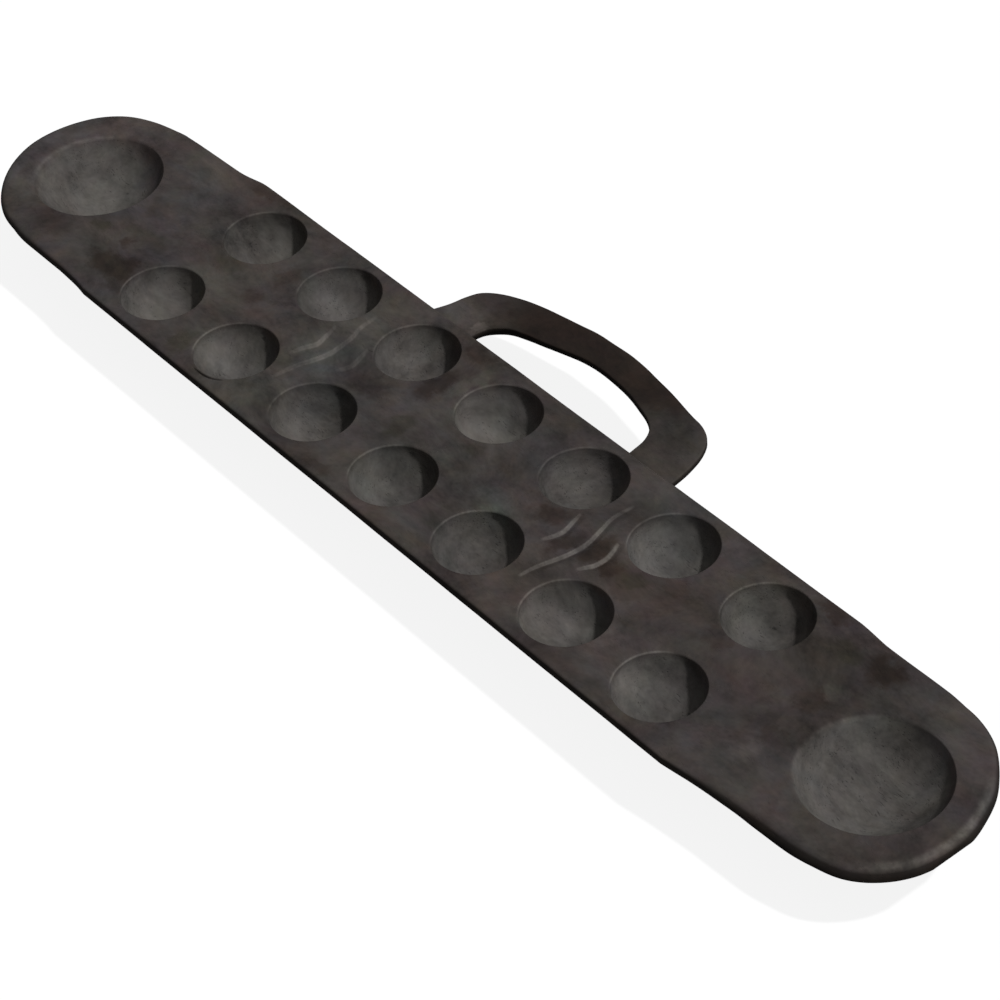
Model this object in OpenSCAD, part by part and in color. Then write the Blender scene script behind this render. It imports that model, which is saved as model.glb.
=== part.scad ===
// Sungka board: a long carved board with two rows of small bowls, a large bowl at each end
// and a bow handle let into one long edge.
// The origin is on the underside, below the middle of the bowl rows. X runs along the board, and Y
// points to the handle.

/* [Board] */
// Overall length of the board
board_l = 900; // [880:1:960]
// How far the ends, the large bowls and the handle sit to the left of the middle of the rows
ends_left = 2.5; // [0:0.5:3]
// Width across the middle stretch
board_w = 156; // [154:1:170]
// Width of the necks between the middle stretch and the rounded ends
neck_w = 147; // [144:1:150]
// Width of the rounded ends
end_w = 142; // [138:1:148]
// Thickness
board_t = 45; // [42:1:55]
// Height of the upright rim of the side along the middle
mid_land = 5; // [4:0.5:8]
// Height of the upright rim of the side round the ends
end_land = 5.5; // [4:0.5:8]
// How far the side leans in below its upright rim along the middle, in degrees from upright
flank_lean = 32.5; // [25:0.5:34]
// How far the side leans in below its upright rim at the ends
end_lean = 50; // [40:1:52]
// Rounding of the top edge along the middle
edge_r = 1.5; // [1:0.5:3]
// Rounding of the top edge round the ends
end_edge_r = 4; // [2:0.5:5]
// Rounding between side and underside
bilge_r = 14; // [6:1:20]

/* [Small bowls] */
// Small bowls in each row
pits_per_row = 7; // [5:2:7]
// Distance between neighbouring small bowls
pit_pitch = 82.5; // [80:0.5:84]
// Distance between the two rows
row_gap = 84; // [80:1:86]
// Rim diameter of a small bowl
pit_d = 55.5; // [50:0.5:57]
// Depth of a small bowl
pit_depth = 26; // [20:1:28]

/* [Large bowls] */
// Distance of each large bowl from the middle of the board
store_x = 382; // [378:1:386]
// Rim diameter of a large bowl
store_d = 90; // [80:1:96]
// Depth of a large bowl
store_depth = 29; // [22:1:34]
// Rounding of every bowl's rim
rim_ease = 2; // [1:0.5:3]

/* [Handle] */
// How far the bow reaches from the board's centre line
bow_reach = 143; // [138:0.5:150]
// Width of the bow at its crown
crown_w = 22; // [21:0.5:25]
// Thickness of the bow
bow_t = 14; // [13:0.5:17]
// Height of the upright rim of the bow
bow_land = 4.5; // [3:0.5:6]
// How far the left leg's top lies below the board's top
left_drop = 10.5; // [8:0.5:13]

/* [Handle joint] */
// Distance of each tenon from the middle of the rows
tenon_x = 117; // [116:0.5:118]
// Width of a tenon
tenon_w = 9; // [7:1:9]
// Height of a tenon
tenon_h = 5; // [4:0.5:6]
// Length that a tenon reaches in from the board's widest line
tenon_l = 24; // [20:1:26]
// Diameter of a locking peg
peg_d = 5; // [4:0.5:6]

/* [Hidden] */
$fn = 96;

wood = [0.24, 0.22, 0.20];
handle_wood = [0.20, 0.16, 0.14];
peg_wood = [0.34, 0.25, 0.18];

half_w = board_w / 2;
end_r = end_w / 2;
end_x = board_l / 2 - end_r;
mid_x = pit_pitch * pits_per_row / 2;
neck_x = board_l / 2 - 105;

// Curves of the bow, outer and inner: crown radius, corner radius, distance of the corner's centre
// from the middle, and how far the leg leans outwards to its root
outer_arch = [281, 31, 85, 23];
inner_arch = [182, 28, 57.5, 5];
// The bow's legs start this far from the centre line, inside the board
leg_start_y = 52;
// Distance from the middle of the bow to the middle of a leg
leg_mid_x = 104;
// Rings along one half of the bow
bow_rings = 20;
bow_edge_r = 1.2;
bow_keel_r = 3;
bow_lean = 33;

mortise_relief = 1;
peg_y = half_w - 15;
peg_cover = 3;
tenon_below_top = 6;
// Square shoulder that the board's rounded edge keeps at the right leg
shoulder_w = 38;
shoulder_x = 104;

function leg_top(side) = board_t - (side < 0 ? left_drop : 0);
function tenon_z(side) = leg_top(side) - tenon_below_top;

// Half of a form's cross-section, from its centre line out
module half_section(w, land, edge, lean) {
    corner_z = board_t - land;
    bilge_x = w - (corner_z - bilge_r) * tan(lean) - bilge_r / cos(lean);
    polygon([
        [0, 0], [bilge_x, 0],
        [bilge_x + bilge_r * cos(lean), bilge_r * (1 - sin(lean))],
        [w, corner_z], [w, board_t - edge], [w - edge, board_t], [0, board_t]
    ]);
    translate([bilge_x, bilge_r]) circle(bilge_r);
    translate([w - edge, board_t - edge]) circle(edge);
}

// A straight stretch of a section with a half turn of it at each end
module boat_form(straight, w, land, edge, lean) {
    rotate([90, 0, 90]) linear_extrude(2 * straight, center = true) {
        half_section(w, land, edge, lean);
        mirror([1, 0]) half_section(w, land, edge, lean);
    }
    for (side = [-1, 1])
        translate([side * straight, 0, 0]) rotate([0, 0, -90 * side])
            rotate_extrude(angle = 180) half_section(w, land, edge, lean);
}

// The hull: a deep form along the middle, one for the narrower necks and one for the shallow ends
module board_blank() {
    boat_form(mid_x, half_w, mid_land, edge_r, flank_lean);
    translate([-ends_left, 0, 0]) {
        boat_form(neck_x, neck_w / 2, end_land, (edge_r + end_edge_r) / 2, (flank_lean + end_lean) / 2);
        boat_form(end_x, end_r, end_land, end_edge_r, end_lean);
    }
}

// Cutter for a round bowl: part of a ball below the top, with its rim rounded over
module bowl(rim_d, depth) {
    rim_r = rim_d / 2;
    ball_r = (rim_r * rim_r + depth * depth) / (2 * depth);
    ball_z = ball_r - depth;
    ease_x = sqrt(pow(ball_r + rim_ease, 2) - pow(ball_z + rim_ease, 2));
    touch = ball_r / (ball_r + rim_ease);
    rotate_extrude() difference() {
        union() {
            intersection() {
                translate([0, ball_z]) circle(ball_r);
                translate([0, -depth]) square([rim_r + 1, depth]);
            }
            polygon([
                [0, -depth / 2], [ease_x * touch, ball_z - (ball_z + rim_ease) * touch],
                [ease_x, 0], [ease_x, 1], [0, 1]
            ]);
        }
        translate([ease_x, -rim_ease]) circle(rim_ease);
    }
}

module all_bowls() {
    for (column = [0 : pits_per_row - 1], row = [-1, 1])
        translate([(column - (pits_per_row - 1) / 2) * pit_pitch, row * row_gap / 2, board_t])
            bowl(pit_d, pit_depth);
    for (side = [-1, 1])
        translate([side * store_x - ends_left, 0, board_t]) bowl(store_d, store_depth);
}

// A tenon, or its mortise when it is made longer by relief
module tenon(side, relief = 0) {
    translate([side * tenon_x - tenon_w / 2, half_w - tenon_l - relief, tenon_z(side) - tenon_h / 2])
        cube([tenon_w, tenon_l + relief, tenon_h]);
}

module peg_hole(side) {
    translate([side * tenon_x, peg_y, -1]) cylinder(h = board_t - peg_cover + 1, d = peg_d);
}

// Block that keeps the board's edge square behind the right leg
module square_shoulder() {
    translate([shoulder_x - shoulder_w / 2, half_w - 2 * edge_r, board_t - mid_land])
        cube([shoulder_w, 2 * edge_r, mid_land]);
}

module board() {
    color(wood) difference() {
        union() {
            board_blank();
            square_shoulder();
        }
        all_bowls();
        for (side = [-1, 1]) {
            tenon(side, mortise_relief);
            peg_hole(side);
        }
    }
}

// A point on the left half of an arch made of a leaning leg, a corner arc and a crown arc.
// s runs from 0 at the foot to 1 at the middle of the crown.
function arch_point(s, arch, reach) =
    let (
        crown_r = arch[0], corner_r = arch[1], corner_x = arch[2], splay = arch[3],
        crown_y = reach - crown_r,
        lean = asin(corner_x / (crown_r - corner_r)),
        corner_y = crown_y + (crown_r - corner_r) * cos(lean),
        leg_end = [-corner_x - corner_r * cos(splay), corner_y + corner_r * sin(splay)],
        y = leg_start_y + (leg_end.y - leg_start_y) * s / 0.25,
        a = 180 - splay - (90 - lean - splay) * (s - 0.25) / 0.25,
        b = 90 + lean * (1 - (s - 0.5) / 0.5)
    )
    s < 0.25 ? [leg_end.x - (leg_end.y - y) * tan(splay), y]
    : s < 0.5 ? [-corner_x, corner_y] + corner_r * [cos(a), sin(a)]
    : [0, crown_y] + crown_r * [cos(b), sin(b)];

function bow_side(i, outer) =
    let (
        s = i <= bow_rings ? i / bow_rings : 2 - i / bow_rings,
        p = outer ? arch_point(s, outer_arch, bow_reach) : arch_point(s, inner_arch, bow_reach - crown_w)
    )
    i <= bow_rings ? p : [-p.x, p.y];

// One side of the bow's section, as distances from its middle and heights below its top:
// rounded edge, upright rim, leaning flank and rounded keel
function half_ring(half) =
    let (
        flank = bow_t - bow_keel_r - bow_land,
        keel_x = half - flank * tan(bow_lean) - bow_keel_r / cos(bow_lean)
    )
    [
        for (a = [90, 45, 0]) [half - bow_edge_r * (1 - cos(a)), bow_edge_r * (sin(a) - 1)],
        [half, -bow_land],
        for (a = [bow_lean, (bow_lean + 90) / 2, 90])
            [keel_x + bow_keel_r * cos(a), bow_keel_r * (1 - sin(a)) - bow_t]
    ];

function whole_ring(half) =
    let (right = half_ring(half), last = len(right) - 1)
    [each right, for (i = [last : -1 : 0]) [-right[i].x, right[i].y]];

// The bow as a loft: one section for each pair of points on its two curves.
// Its top runs down from the right leg, level with the board, to the lower left leg.
module bow() {
    last = 2 * bow_rings;
    count = len(whole_ring(crown_w / 2));
    points = [
        for (i = [0 : last])
            let (
                a = bow_side(i, true), b = bow_side(i, false),
                middle = (a + b) / 2, outward = (a - b) / norm(a - b),
                top = leg_top(1) - left_drop * max(1 - middle.x / leg_mid_x, 0) / 2
            )
            for (spot = whole_ring(norm(a - b) / 2))
                let (across = middle + outward * spot.x)
                [across.x - ends_left, across.y, top + spot.y]
    ];
    faces = [
        for (i = [0 : last - 1], j = [0 : count - 1])
            let (k = (j + 1) % count, p = i * count + j, q = i * count + k, r = p + count, t = q + count)
            each [[p, q, t], [p, t, r]],
        [for (j = [count - 1 : -1 : 0]) j],
        [for (j = [0 : count - 1]) last * count + j]
    ];
    polyhedron(points, faces);
}

module handle() {
    color(handle_wood) difference() {
        union() {
            difference() {
                bow();
                board_blank();
                square_shoulder();
            }
            for (side = [-1, 1]) tenon(side);
        }
        for (side = [-1, 1]) peg_hole(side);
    }
}

// A peg, cut off level with the underside that it is driven through
module tenon_peg(side) {
    color(peg_wood) intersection() {
        board_blank();
        peg_hole(side);
    }
}

module left_tenon_peg() {
    tenon_peg(-1);
}

module right_tenon_peg() {
    tenon_peg(1);
}

board();
handle();
left_tenon_peg();
right_tenon_peg();
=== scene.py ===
"""The looks of a sungka board: the carved board, its bow handle and the pegs that lock the handle.

Lengths are in metres. X runs along the board, Y points to the handle and Z points up.
"""

import bisect
import logging
import math
from collections.abc import Sequence
from dataclasses import dataclass, fields, replace
from enum import Enum

import bmesh
import bpy
from mathutils import Matrix, Vector


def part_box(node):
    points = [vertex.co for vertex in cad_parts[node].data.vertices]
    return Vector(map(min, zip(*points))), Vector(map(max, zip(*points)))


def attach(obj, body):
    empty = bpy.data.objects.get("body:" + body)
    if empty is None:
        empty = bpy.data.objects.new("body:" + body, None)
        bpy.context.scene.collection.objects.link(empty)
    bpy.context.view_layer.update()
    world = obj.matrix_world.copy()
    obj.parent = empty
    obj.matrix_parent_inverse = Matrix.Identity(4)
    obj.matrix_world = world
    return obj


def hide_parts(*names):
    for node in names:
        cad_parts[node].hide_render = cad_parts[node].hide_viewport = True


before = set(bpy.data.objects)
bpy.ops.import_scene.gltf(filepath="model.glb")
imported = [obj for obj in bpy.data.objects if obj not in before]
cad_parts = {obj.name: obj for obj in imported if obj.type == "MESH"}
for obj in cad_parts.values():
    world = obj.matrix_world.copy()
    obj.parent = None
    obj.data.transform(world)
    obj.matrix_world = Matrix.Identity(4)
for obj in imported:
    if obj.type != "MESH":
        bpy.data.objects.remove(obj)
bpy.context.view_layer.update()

MM = 0.001
WELD = 0.02 * MM
SHARP = math.radians(50.0)
# How far the top of the bow's left leg lies below the board's top
LEFT_DROP = 10.5 * MM
# The ways out from a bowl's centre to its shady wall, where holding back the pale colour paints shade, and to
# its edges that take a pale rubbed colour and painted highlight
PAINTED_SHADE_WAY = (0.72, 0.69, 0.0)
RIGHT_WAY = (0.995, -0.1, 0.0)
LEFT_WAY = (-0.99, 0.1, 0.0)
# Bearings from the board's tip below this are on a rounded end, and the straight shoulders are at 90
SIDEWAYS = 89.9
QUARTER = math.pi / 2

log = logging.getLogger("sungka_board")


class Socket(Enum):
    """Kinds of named input and output that the node trees here use."""

    NUMBER = "NodeSocketFloat"
    COUNT = "NodeSocketInt"
    VECTOR = "NodeSocketVector"
    OBJECT = "NodeSocketObject"
    COLLECTION = "NodeSocketCollection"
    MATERIAL = "NodeSocketMaterial"
    GEOMETRY = "NodeSocketGeometry"


class Field:
    """One output of a node. Arithmetic on it adds nodes to its tree."""

    def __init__(self, tree: "Tree", socket: bpy.types.NodeSocket) -> None:
        """Keeps the tree and the output."""
        self.tree = tree
        self.socket = socket

    @property
    def is_vector(self) -> bool:
        """Whether this is three numbers, as a vector or a colour, and not a single one."""
        return self.socket.type in ("VECTOR", "RGBA")

    def __add__(self, other: "Value") -> "Field":
        """This plus other."""
        return self.tree.math("ADD", self, other)

    def __sub__(self, other: "Value") -> "Field":
        """This less other."""
        return self.tree.math("SUBTRACT", self, other)

    def __rsub__(self, other: "Value") -> "Field":
        """Other less this."""
        return self.tree.math("SUBTRACT", other, self)

    def __mul__(self, other: "Value") -> "Field":
        """This times other."""
        return self.tree.math("MULTIPLY", self, other)

    def __truediv__(self, other: "Value") -> "Field":
        """This divided by other."""
        return self.tree.math("DIVIDE", self, other)

    def __rtruediv__(self, other: "Value") -> "Field":
        """Other divided by this."""
        return self.tree.math("DIVIDE", other, self)

    def part(self, axis: str) -> "Field":
        """The X, Y or Z of a vector."""
        return self.tree.get("ShaderNodeSeparateXYZ", {"Vector": self}, output=axis)

    def ramp(self, low: "Value", high: "Value") -> "Field":
        """Rises smoothly from 0 at low to 1 at high, or falls where low is the larger."""
        limits = {"Value": self, "From Min": low, "From Max": high}
        return self.tree.get("ShaderNodeMapRange", limits, interpolation_type="SMOOTHSTEP")


# What an input of a node can take
Value = Field | float | int | Sequence[float] | bpy.types.ID


class Tree:
    """A node tree that is written as formulas."""

    def __init__(self, data: bpy.types.NodeTree) -> None:
        """Takes Blender's own tree."""
        self.data = data

    def node(self, kind: str, feeds: dict[str | int, Value] | None = None,
             **settings: object) -> bpy.types.Node:
        """Adds a node.

        Args:
            kind: Blender's name for the node's type.
            feeds: what goes into its inputs, by their names or numbers.
            settings: the node's own options.

        Returns:
            The new node.
        """
        made = self.data.nodes.new(kind)
        for option, choice in settings.items():
            setattr(made, option, choice)
        for key, value in (feeds or {}).items():
            self.feed(made.inputs[key], value)
        return made

    def feed(self, socket: bpy.types.NodeSocket, value: Value) -> None:
        """Links a field to a socket, or sets the socket to a plain value.

        Args:
            socket: an input of a node.
            value: what goes in.
        """
        if isinstance(value, Field):
            self.data.links.new(value.socket, socket)
        else:
            socket.default_value = value

    def get(self, kind: str, feeds: dict[str | int, Value] | None = None, output: str | int = 0,
            **settings: object) -> Field:
        """Adds a node and gives one of its outputs.

        Args:
            kind: as in node.
            feeds: as in node.
            output: name or number of the output.
            settings: as in node.

        Returns:
            The output.
        """
        return Field(self, self.node(kind, feeds, **settings).outputs[output])

    def math(self, operation: str, *values: Value) -> Field:
        """Arithmetic on numbers, or on vectors where one of the values is a vector field.

        Args:
            operation: Blender's name for the operation.
            values: one to three operands. A vector is multiplied by a number or a number field.

        Returns:
            The result.
        """
        if not any(isinstance(v, Field) and v.is_vector for v in values):
            return self.get("ShaderNodeMath", dict(enumerate(values)), operation=operation)
        numbers = [v for v in values
                   if isinstance(v, (int, float)) or isinstance(v, Field) and not v.is_vector]
        if operation == "MULTIPLY" and numbers:
            vector = next(v for v in values if v not in numbers)
            return self.get("ShaderNodeVectorMath", {0: vector, "Scale": numbers[0]}, operation="SCALE")
        output = "Value" if operation in ("LENGTH", "DOT_PRODUCT") else "Vector"
        return self.get("ShaderNodeVectorMath", dict(enumerate(values)), output, operation=operation)

    def vector(self, x: Value = 0.0, y: Value = 0.0, z: Value = 0.0) -> Field:
        """A vector from its three parts."""
        return self.get("ShaderNodeCombineXYZ", {"X": x, "Y": y, "Z": z})

    def noise(self, place: Value, size: float, seed: float, detail: float = 2.0, output: str = "Fac",
              **feeds: float) -> Field:
        """Seeded noise from 0 to 1.

        Args:
            place: where the noise is read.
            size: about how far apart its humps are, in the unit of place.
            seed: a fixed number that sets this noise apart from the others.
            detail: how many finer layers are added.
            output: Fac for a number or Color for three.
            feeds: the noise's other inputs.

        Returns:
            The noise as a field.
        """
        values = {"Vector": place, "W": seed, "Scale": 1.0 / size, "Detail": detail, **feeds}
        return self.get("ShaderNodeTexNoise", values, output, noise_dimensions="4D")

    def wobble(self, place: Value, size: float, seed: float, detail: float = 2.0, **feeds: float) -> Field:
        """Three noises in one, each centred on zero. The arguments are those of noise."""
        return self.noise(place, size, seed, detail, "Color", **feeds) - (0.5, 0.5, 0.5)

    def mix(self, share: Value, first: Value, second: Value, blend: str = "MIX") -> Field:
        """Mixes two colours. A share of 1 gives the second."""
        values = {0: share, 6: first, 7: second}
        return self.get("ShaderNodeMix", values, 2, data_type="RGBA", blend_type=blend)

    def between(self, share: Value, first: Field, second: Field) -> Field:
        """Goes from one number or vector to another as share goes from 0 to 1."""
        return first + (second - first) * share


class GeometryTree(Tree):
    """A geometry node tree with named inputs, which ends in real mesh of one material."""

    def __init__(self, name: str, inputs: dict[str, Socket]) -> None:
        """Makes the tree and its inputs.

        Args:
            name: name of the tree.
            inputs: the inputs between the first, Geometry, and the last, Material.
        """
        super().__init__(bpy.data.node_groups.new(name, "GeometryNodeTree"))
        self.data.is_modifier = True
        faces = self.data.interface
        for label, kind in {"Geometry": Socket.GEOMETRY, **inputs, "Material": Socket.MATERIAL}.items():
            faces.new_socket(label, in_out="INPUT", socket_type=kind.value)
        faces.new_socket("Geometry", in_out="OUTPUT", socket_type=Socket.GEOMETRY.value)
        self.source = self.data.nodes.new("NodeGroupInput")

    def given(self, label: str) -> Field:
        """One of the tree's named inputs."""
        return Field(self, self.source.outputs[label])

    def place(self) -> Field:
        """The position of the point that a field is read at."""
        return self.get("GeometryNodeInputPosition")

    def guide(self, label: str) -> Field:
        """The geometry of an object that is one of the inputs."""
        return self.get("GeometryNodeObjectInfo", {"Object": self.given(label)}, "Geometry")

    def attribute(self, name: str, vector: bool = False) -> Field:
        """A named attribute of the geometry that a field is read on."""
        kind = "FLOAT_VECTOR" if vector else "FLOAT"
        return self.get("GeometryNodeInputNamedAttribute", {"Name": name}, data_type=kind)

    def count(self, geometry: Field) -> Field:
        """How many points a mesh has."""
        return self.get("GeometryNodeAttributeDomainSize", {"Geometry": geometry}, "Point Count")

    def sample(self, geometry: Field, value: Field, number: Field) -> Field:
        """Reads a value at one numbered point of another geometry.

        Args:
            geometry: where the point is.
            value: what is read there.
            number: the point's number.

        Returns:
            The value.
        """
        kind = "FLOAT_VECTOR" if value.is_vector else "FLOAT"
        made = self.node("GeometryNodeSampleIndex", data_type=kind, domain="POINT")
        for socket, field in (("Geometry", geometry), ("Value", value), ("Index", number)):
            self.feed(made.inputs[socket], field)
        return Field(self, made.outputs["Value"])

    def moved(self, geometry: Field, **feeds: Field) -> Field:
        """Geometry with its points set to a Position, or shifted by an Offset."""
        return self.get("GeometryNodeSetPosition", {"Geometry": geometry, **feeds})

    def stored(self, geometry: Field, name: str, value: Field) -> Field:
        """Geometry with a number kept on its points under a name."""
        feeds = {"Geometry": geometry, "Name": name, "Value": value}
        return self.get("GeometryNodeStoreNamedAttribute", feeds, data_type="FLOAT", domain="POINT")

    def sheet(self, columns: Field, rows: Field) -> tuple[Field, Field, Field]:
        """A flat sheet of quads, to be shaped by the numbers of its points.

        Args:
            columns: how many points it has one way.
            rows: how many points it has the other way.

        Returns:
            The sheet, and the column and row number of each point.
        """
        flat = self.get("GeometryNodeMeshGrid", {"Vertices X": columns, "Vertices Y": rows}, "Mesh")
        number = self.get("GeometryNodeInputIndex")
        column = self.math("FLOOR", (number + 0.5) / rows)
        return flat, column, number - column * rows

    def finish(self, geometry: Field) -> None:
        """Ends the tree.

        Args:
            geometry: the result, which gets the material here.
        """
        real = self.get("GeometryNodeRealizeInstances", {"Geometry": geometry})
        dressed = self.get("GeometryNodeSetMaterial", {"Geometry": real, "Material": self.given("Material")})
        self.node("NodeGroupOutput", {"Geometry": dressed})


def new_object(name: str, mesh: bpy.types.Mesh) -> bpy.types.Object:
    """Puts a mesh into the scene at the origin.

    Args:
        name: name of the object.
        mesh: its mesh.

    Returns:
        The object.
    """
    made = bpy.data.objects.new(name, mesh)
    bpy.context.scene.collection.objects.link(made)
    return made


def from_shape(name: str, shape: bmesh.types.BMesh) -> bpy.types.Object:
    """Turns a built shape into an object.

    Args:
        name: name of the object and its mesh.
        shape: the shape, which is freed.

    Returns:
        The object.
    """
    mesh = bpy.data.meshes.new(name)
    shape.to_mesh(mesh)
    shape.free()
    return new_object(name, mesh)


def modified_mesh(owner: bpy.types.Object) -> bpy.types.Mesh:
    """Gives the plain mesh that an object's modifiers leave.

    Args:
        owner: the object, which keeps its own mesh.

    Returns:
        A new mesh.
    """
    graph = bpy.context.evaluated_depsgraph_get()
    return bpy.data.meshes.new_from_object(owner.evaluated_get(graph), preserve_all_data_layers=True,
                                           depsgraph=graph)


def guide_points(name: str, points: Sequence[Vector],
                 **values: Sequence[float] | Sequence[Vector]) -> bpy.types.Object:
    """Makes a row of loose points that a node tree reads by their numbers.

    Args:
        name: name of the guide.
        points: where the points are.
        values: further numbers or vectors for each point, by attribute name.

    Returns:
        The guide. discard removes it once the trees have run.
    """
    mesh = bpy.data.meshes.new(name)
    mesh.from_pydata([tuple(p) for p in points], [], [])
    for key, row in values.items():
        is_vector = isinstance(row[0], Vector)
        layer = mesh.attributes.new(key, "FLOAT_VECTOR" if is_vector else "FLOAT", "POINT")
        flat = [part for vector in row for part in vector] if is_vector else list(row)
        layer.data.foreach_set("vector" if is_vector else "value", flat)
    return new_object(name, mesh)


def discard(*objects: bpy.types.Object) -> None:
    """Removes helper objects and their meshes.

    Args:
        objects: the helpers.
    """
    for helper in objects:
        mesh = helper.data
        bpy.data.objects.remove(helper)
        bpy.data.meshes.remove(mesh)


def grow(name: str, *steps: tuple[GeometryTree, dict[str, object]],
         start: bpy.types.Mesh | None = None) -> bpy.types.Mesh:
    """Runs node trees one after another and keeps the result as a plain mesh.

    Args:
        name: name of the resulting mesh.
        steps: the trees in order, each with its inputs by name.
        start: the mesh that the first tree gets, or none.

    Returns:
        The mesh that the last tree leaves.
    """
    carrier = new_object(name, start or bpy.data.meshes.new(name))
    for tree, values in steps:
        modifier = carrier.modifiers.new(tree.data.name, "NODES")
        modifier.node_group = tree.data
        for item in tree.data.interface.items_tree:
            if item.in_out == "INPUT" and item.name in values:
                modifier[item.identifier] = values[item.name]
    mesh = modified_mesh(carrier)
    discard(carrier)
    mesh.name = name
    return mesh


def section_sweep_tree() -> GeometryTree:
    """Sweeps a section along a path. The section may change from one form to another on the way.

    A path's points carry outward, width, lift, the strength of a pale rubbed colour and painted highlight
    on the crest, and two blends, one for the rim and one for the flank below it. A section's points hold the
    distance across in X and the height in Z. They carry share, the part of the path's width that is added to
    the distance, below, which is 1 on the flank and 0 on the rim, side, which is 1 wherever the surface is no
    longer the top and gives the dark side colour that is partly painted shade, and crest, which is 1 where
    the pale rubbed colour and painted highlight show.

    Returns:
        The tree, whose inputs are the path and the two sections.
    """
    names = ("Path", "First section", "Last section")
    tree = GeometryTree("section_sweep", {name: Socket.OBJECT for name in names})
    path, first, last = (tree.guide(name) for name in names)
    flat, station, step = tree.sheet(tree.count(path), tree.count(first))

    def along(value: Field) -> Field:
        """A value of the path at the station."""
        return tree.sample(path, value, station)

    def across(value: Field) -> Field:
        """A value of the section, between its two forms."""
        return tree.between(blend, *(tree.sample(section, value, step) for section in (first, last)))

    below = tree.sample(first, tree.attribute("below"), step)
    blend = tree.between(below, along(tree.attribute("blend")), along(tree.attribute("flank")))
    form = across(tree.place())
    reach = along(tree.attribute("width")) * across(tree.attribute("share")) + form.part("X")
    height = form.part("Z") + along(tree.attribute("lift"))
    spot = along(tree.place()) + along(tree.attribute("outward", vector=True)) * reach + tree.vector(z=height)
    swept = tree.stored(tree.moved(flat, Position=spot), "side", across(tree.attribute("side")))
    tree.finish(tree.stored(swept, "worn", along(tree.attribute("wear")) * across(tree.attribute("crest"))))
    return tree


def bowl_patch_tree() -> GeometryTree:
    """Fills the space between a round bowl and the outline of its part of the top, at each given centre.

    Returns:
        The tree. Its inputs are the centres, the outline seen from a centre, the bowl's section on its crisp
        side and on its soft side, the count and spacing of the rings on the flat, the depth by which the wall
        has its paler colour, how much deeper that is on the shady wall, where the darker colour left there is
        painted shade, and how strongly the left rim and the right-hand edge of the patch take a pale rubbed
        colour and painted highlight.
    """
    guides = ("Centres", "Outline", "Crisp section", "Soft section")
    numbers = ("Ring spacing", "Pale depth", "Shady delay", "Rim wear", "Edge wear")
    tree = GeometryTree("bowl_patch", {**{name: Socket.OBJECT for name in guides}, "Flat rings": Socket.COUNT,
                                       **{name: Socket.NUMBER for name in numbers}})
    centres, outline, crisp, soft = (tree.guide(name) for name in guides)
    bowl_rows = tree.count(crisp)
    flat_rows = tree.given("Flat rings")
    flat, spoke_number, row = tree.sheet(tree.count(outline), bowl_rows + flat_rows)
    border = tree.sample(outline, tree.place(), spoke_number)
    spoke = tree.math("NORMALIZE", border)
    step = tree.math("MINIMUM", row, bowl_rows - 1)
    softness = spoke.part("X").ramp(0.3, -0.9)
    form = tree.between(softness, *(tree.sample(side, tree.place(), step) for side in (crisp, soft)))
    inside = spoke * form.part("X") + tree.vector(z=form.part("Z"))
    beyond = tree.math("MAXIMUM", (row - (bowl_rows - 1)) / flat_rows, 0.0)
    share = tree.math("POWER", beyond, tree.given("Ring spacing"))
    patch = tree.moved(flat, Position=tree.between(share, inside, border))
    on_shady, on_right, on_left = (
        tree.math("DOT_PRODUCT", spoke, way).ramp(*limits)
        for way, limits in ((PAINTED_SHADE_WAY, (0.2, 0.95)), (RIGHT_WAY, (0.54, 0.96)), (LEFT_WAY, (0.45, 0.9))))
    # The pale colour starts deeper on the shady wall, so the darker base colour there is painted shade.
    delay = tree.given("Shady delay") * on_shady
    depth = form.part("Z") * -1.0
    patch = tree.stored(patch, "hollow", depth.ramp(delay * 0.35, tree.given("Pale depth") + delay))
    rim_row = bowl_rows - 4.0
    on_rim = row.ramp(rim_row - 2.0, rim_row) * row.ramp(rim_row + 2.0, rim_row)
    last_row = bowl_rows + flat_rows - 1.0
    on_edge = row.ramp(last_row - 3.0, last_row)
    # A pale rubbed colour and painted highlight, only on the left rim and the right-hand edge, which face the
    # light.
    worn = on_rim * on_left * tree.given("Rim wear") + on_edge * on_right * tree.given("Edge wear")
    patch = tree.stored(patch, "worn", worn)
    tree.finish(tree.get("GeometryNodeInstanceOnPoints", {"Points": centres, "Instance": patch}))
    return tree


def one_skin_tree() -> GeometryTree:
    """Joins the meshes of a collection.

    Returns:
        The tree. Points that are nearer to each other than Weld become one.
    """
    tree = GeometryTree("one_skin", {"Parts": Socket.COLLECTION, "Weld": Socket.NUMBER})
    parts = tree.get("GeometryNodeCollectionInfo", {"Collection": tree.given("Parts")})
    real = tree.get("GeometryNodeRealizeInstances", {"Geometry": parts})
    tree.finish(tree.get("GeometryNodeMergeByDistance", {"Geometry": real, "Distance": tree.given("Weld")}))
    return tree


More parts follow.
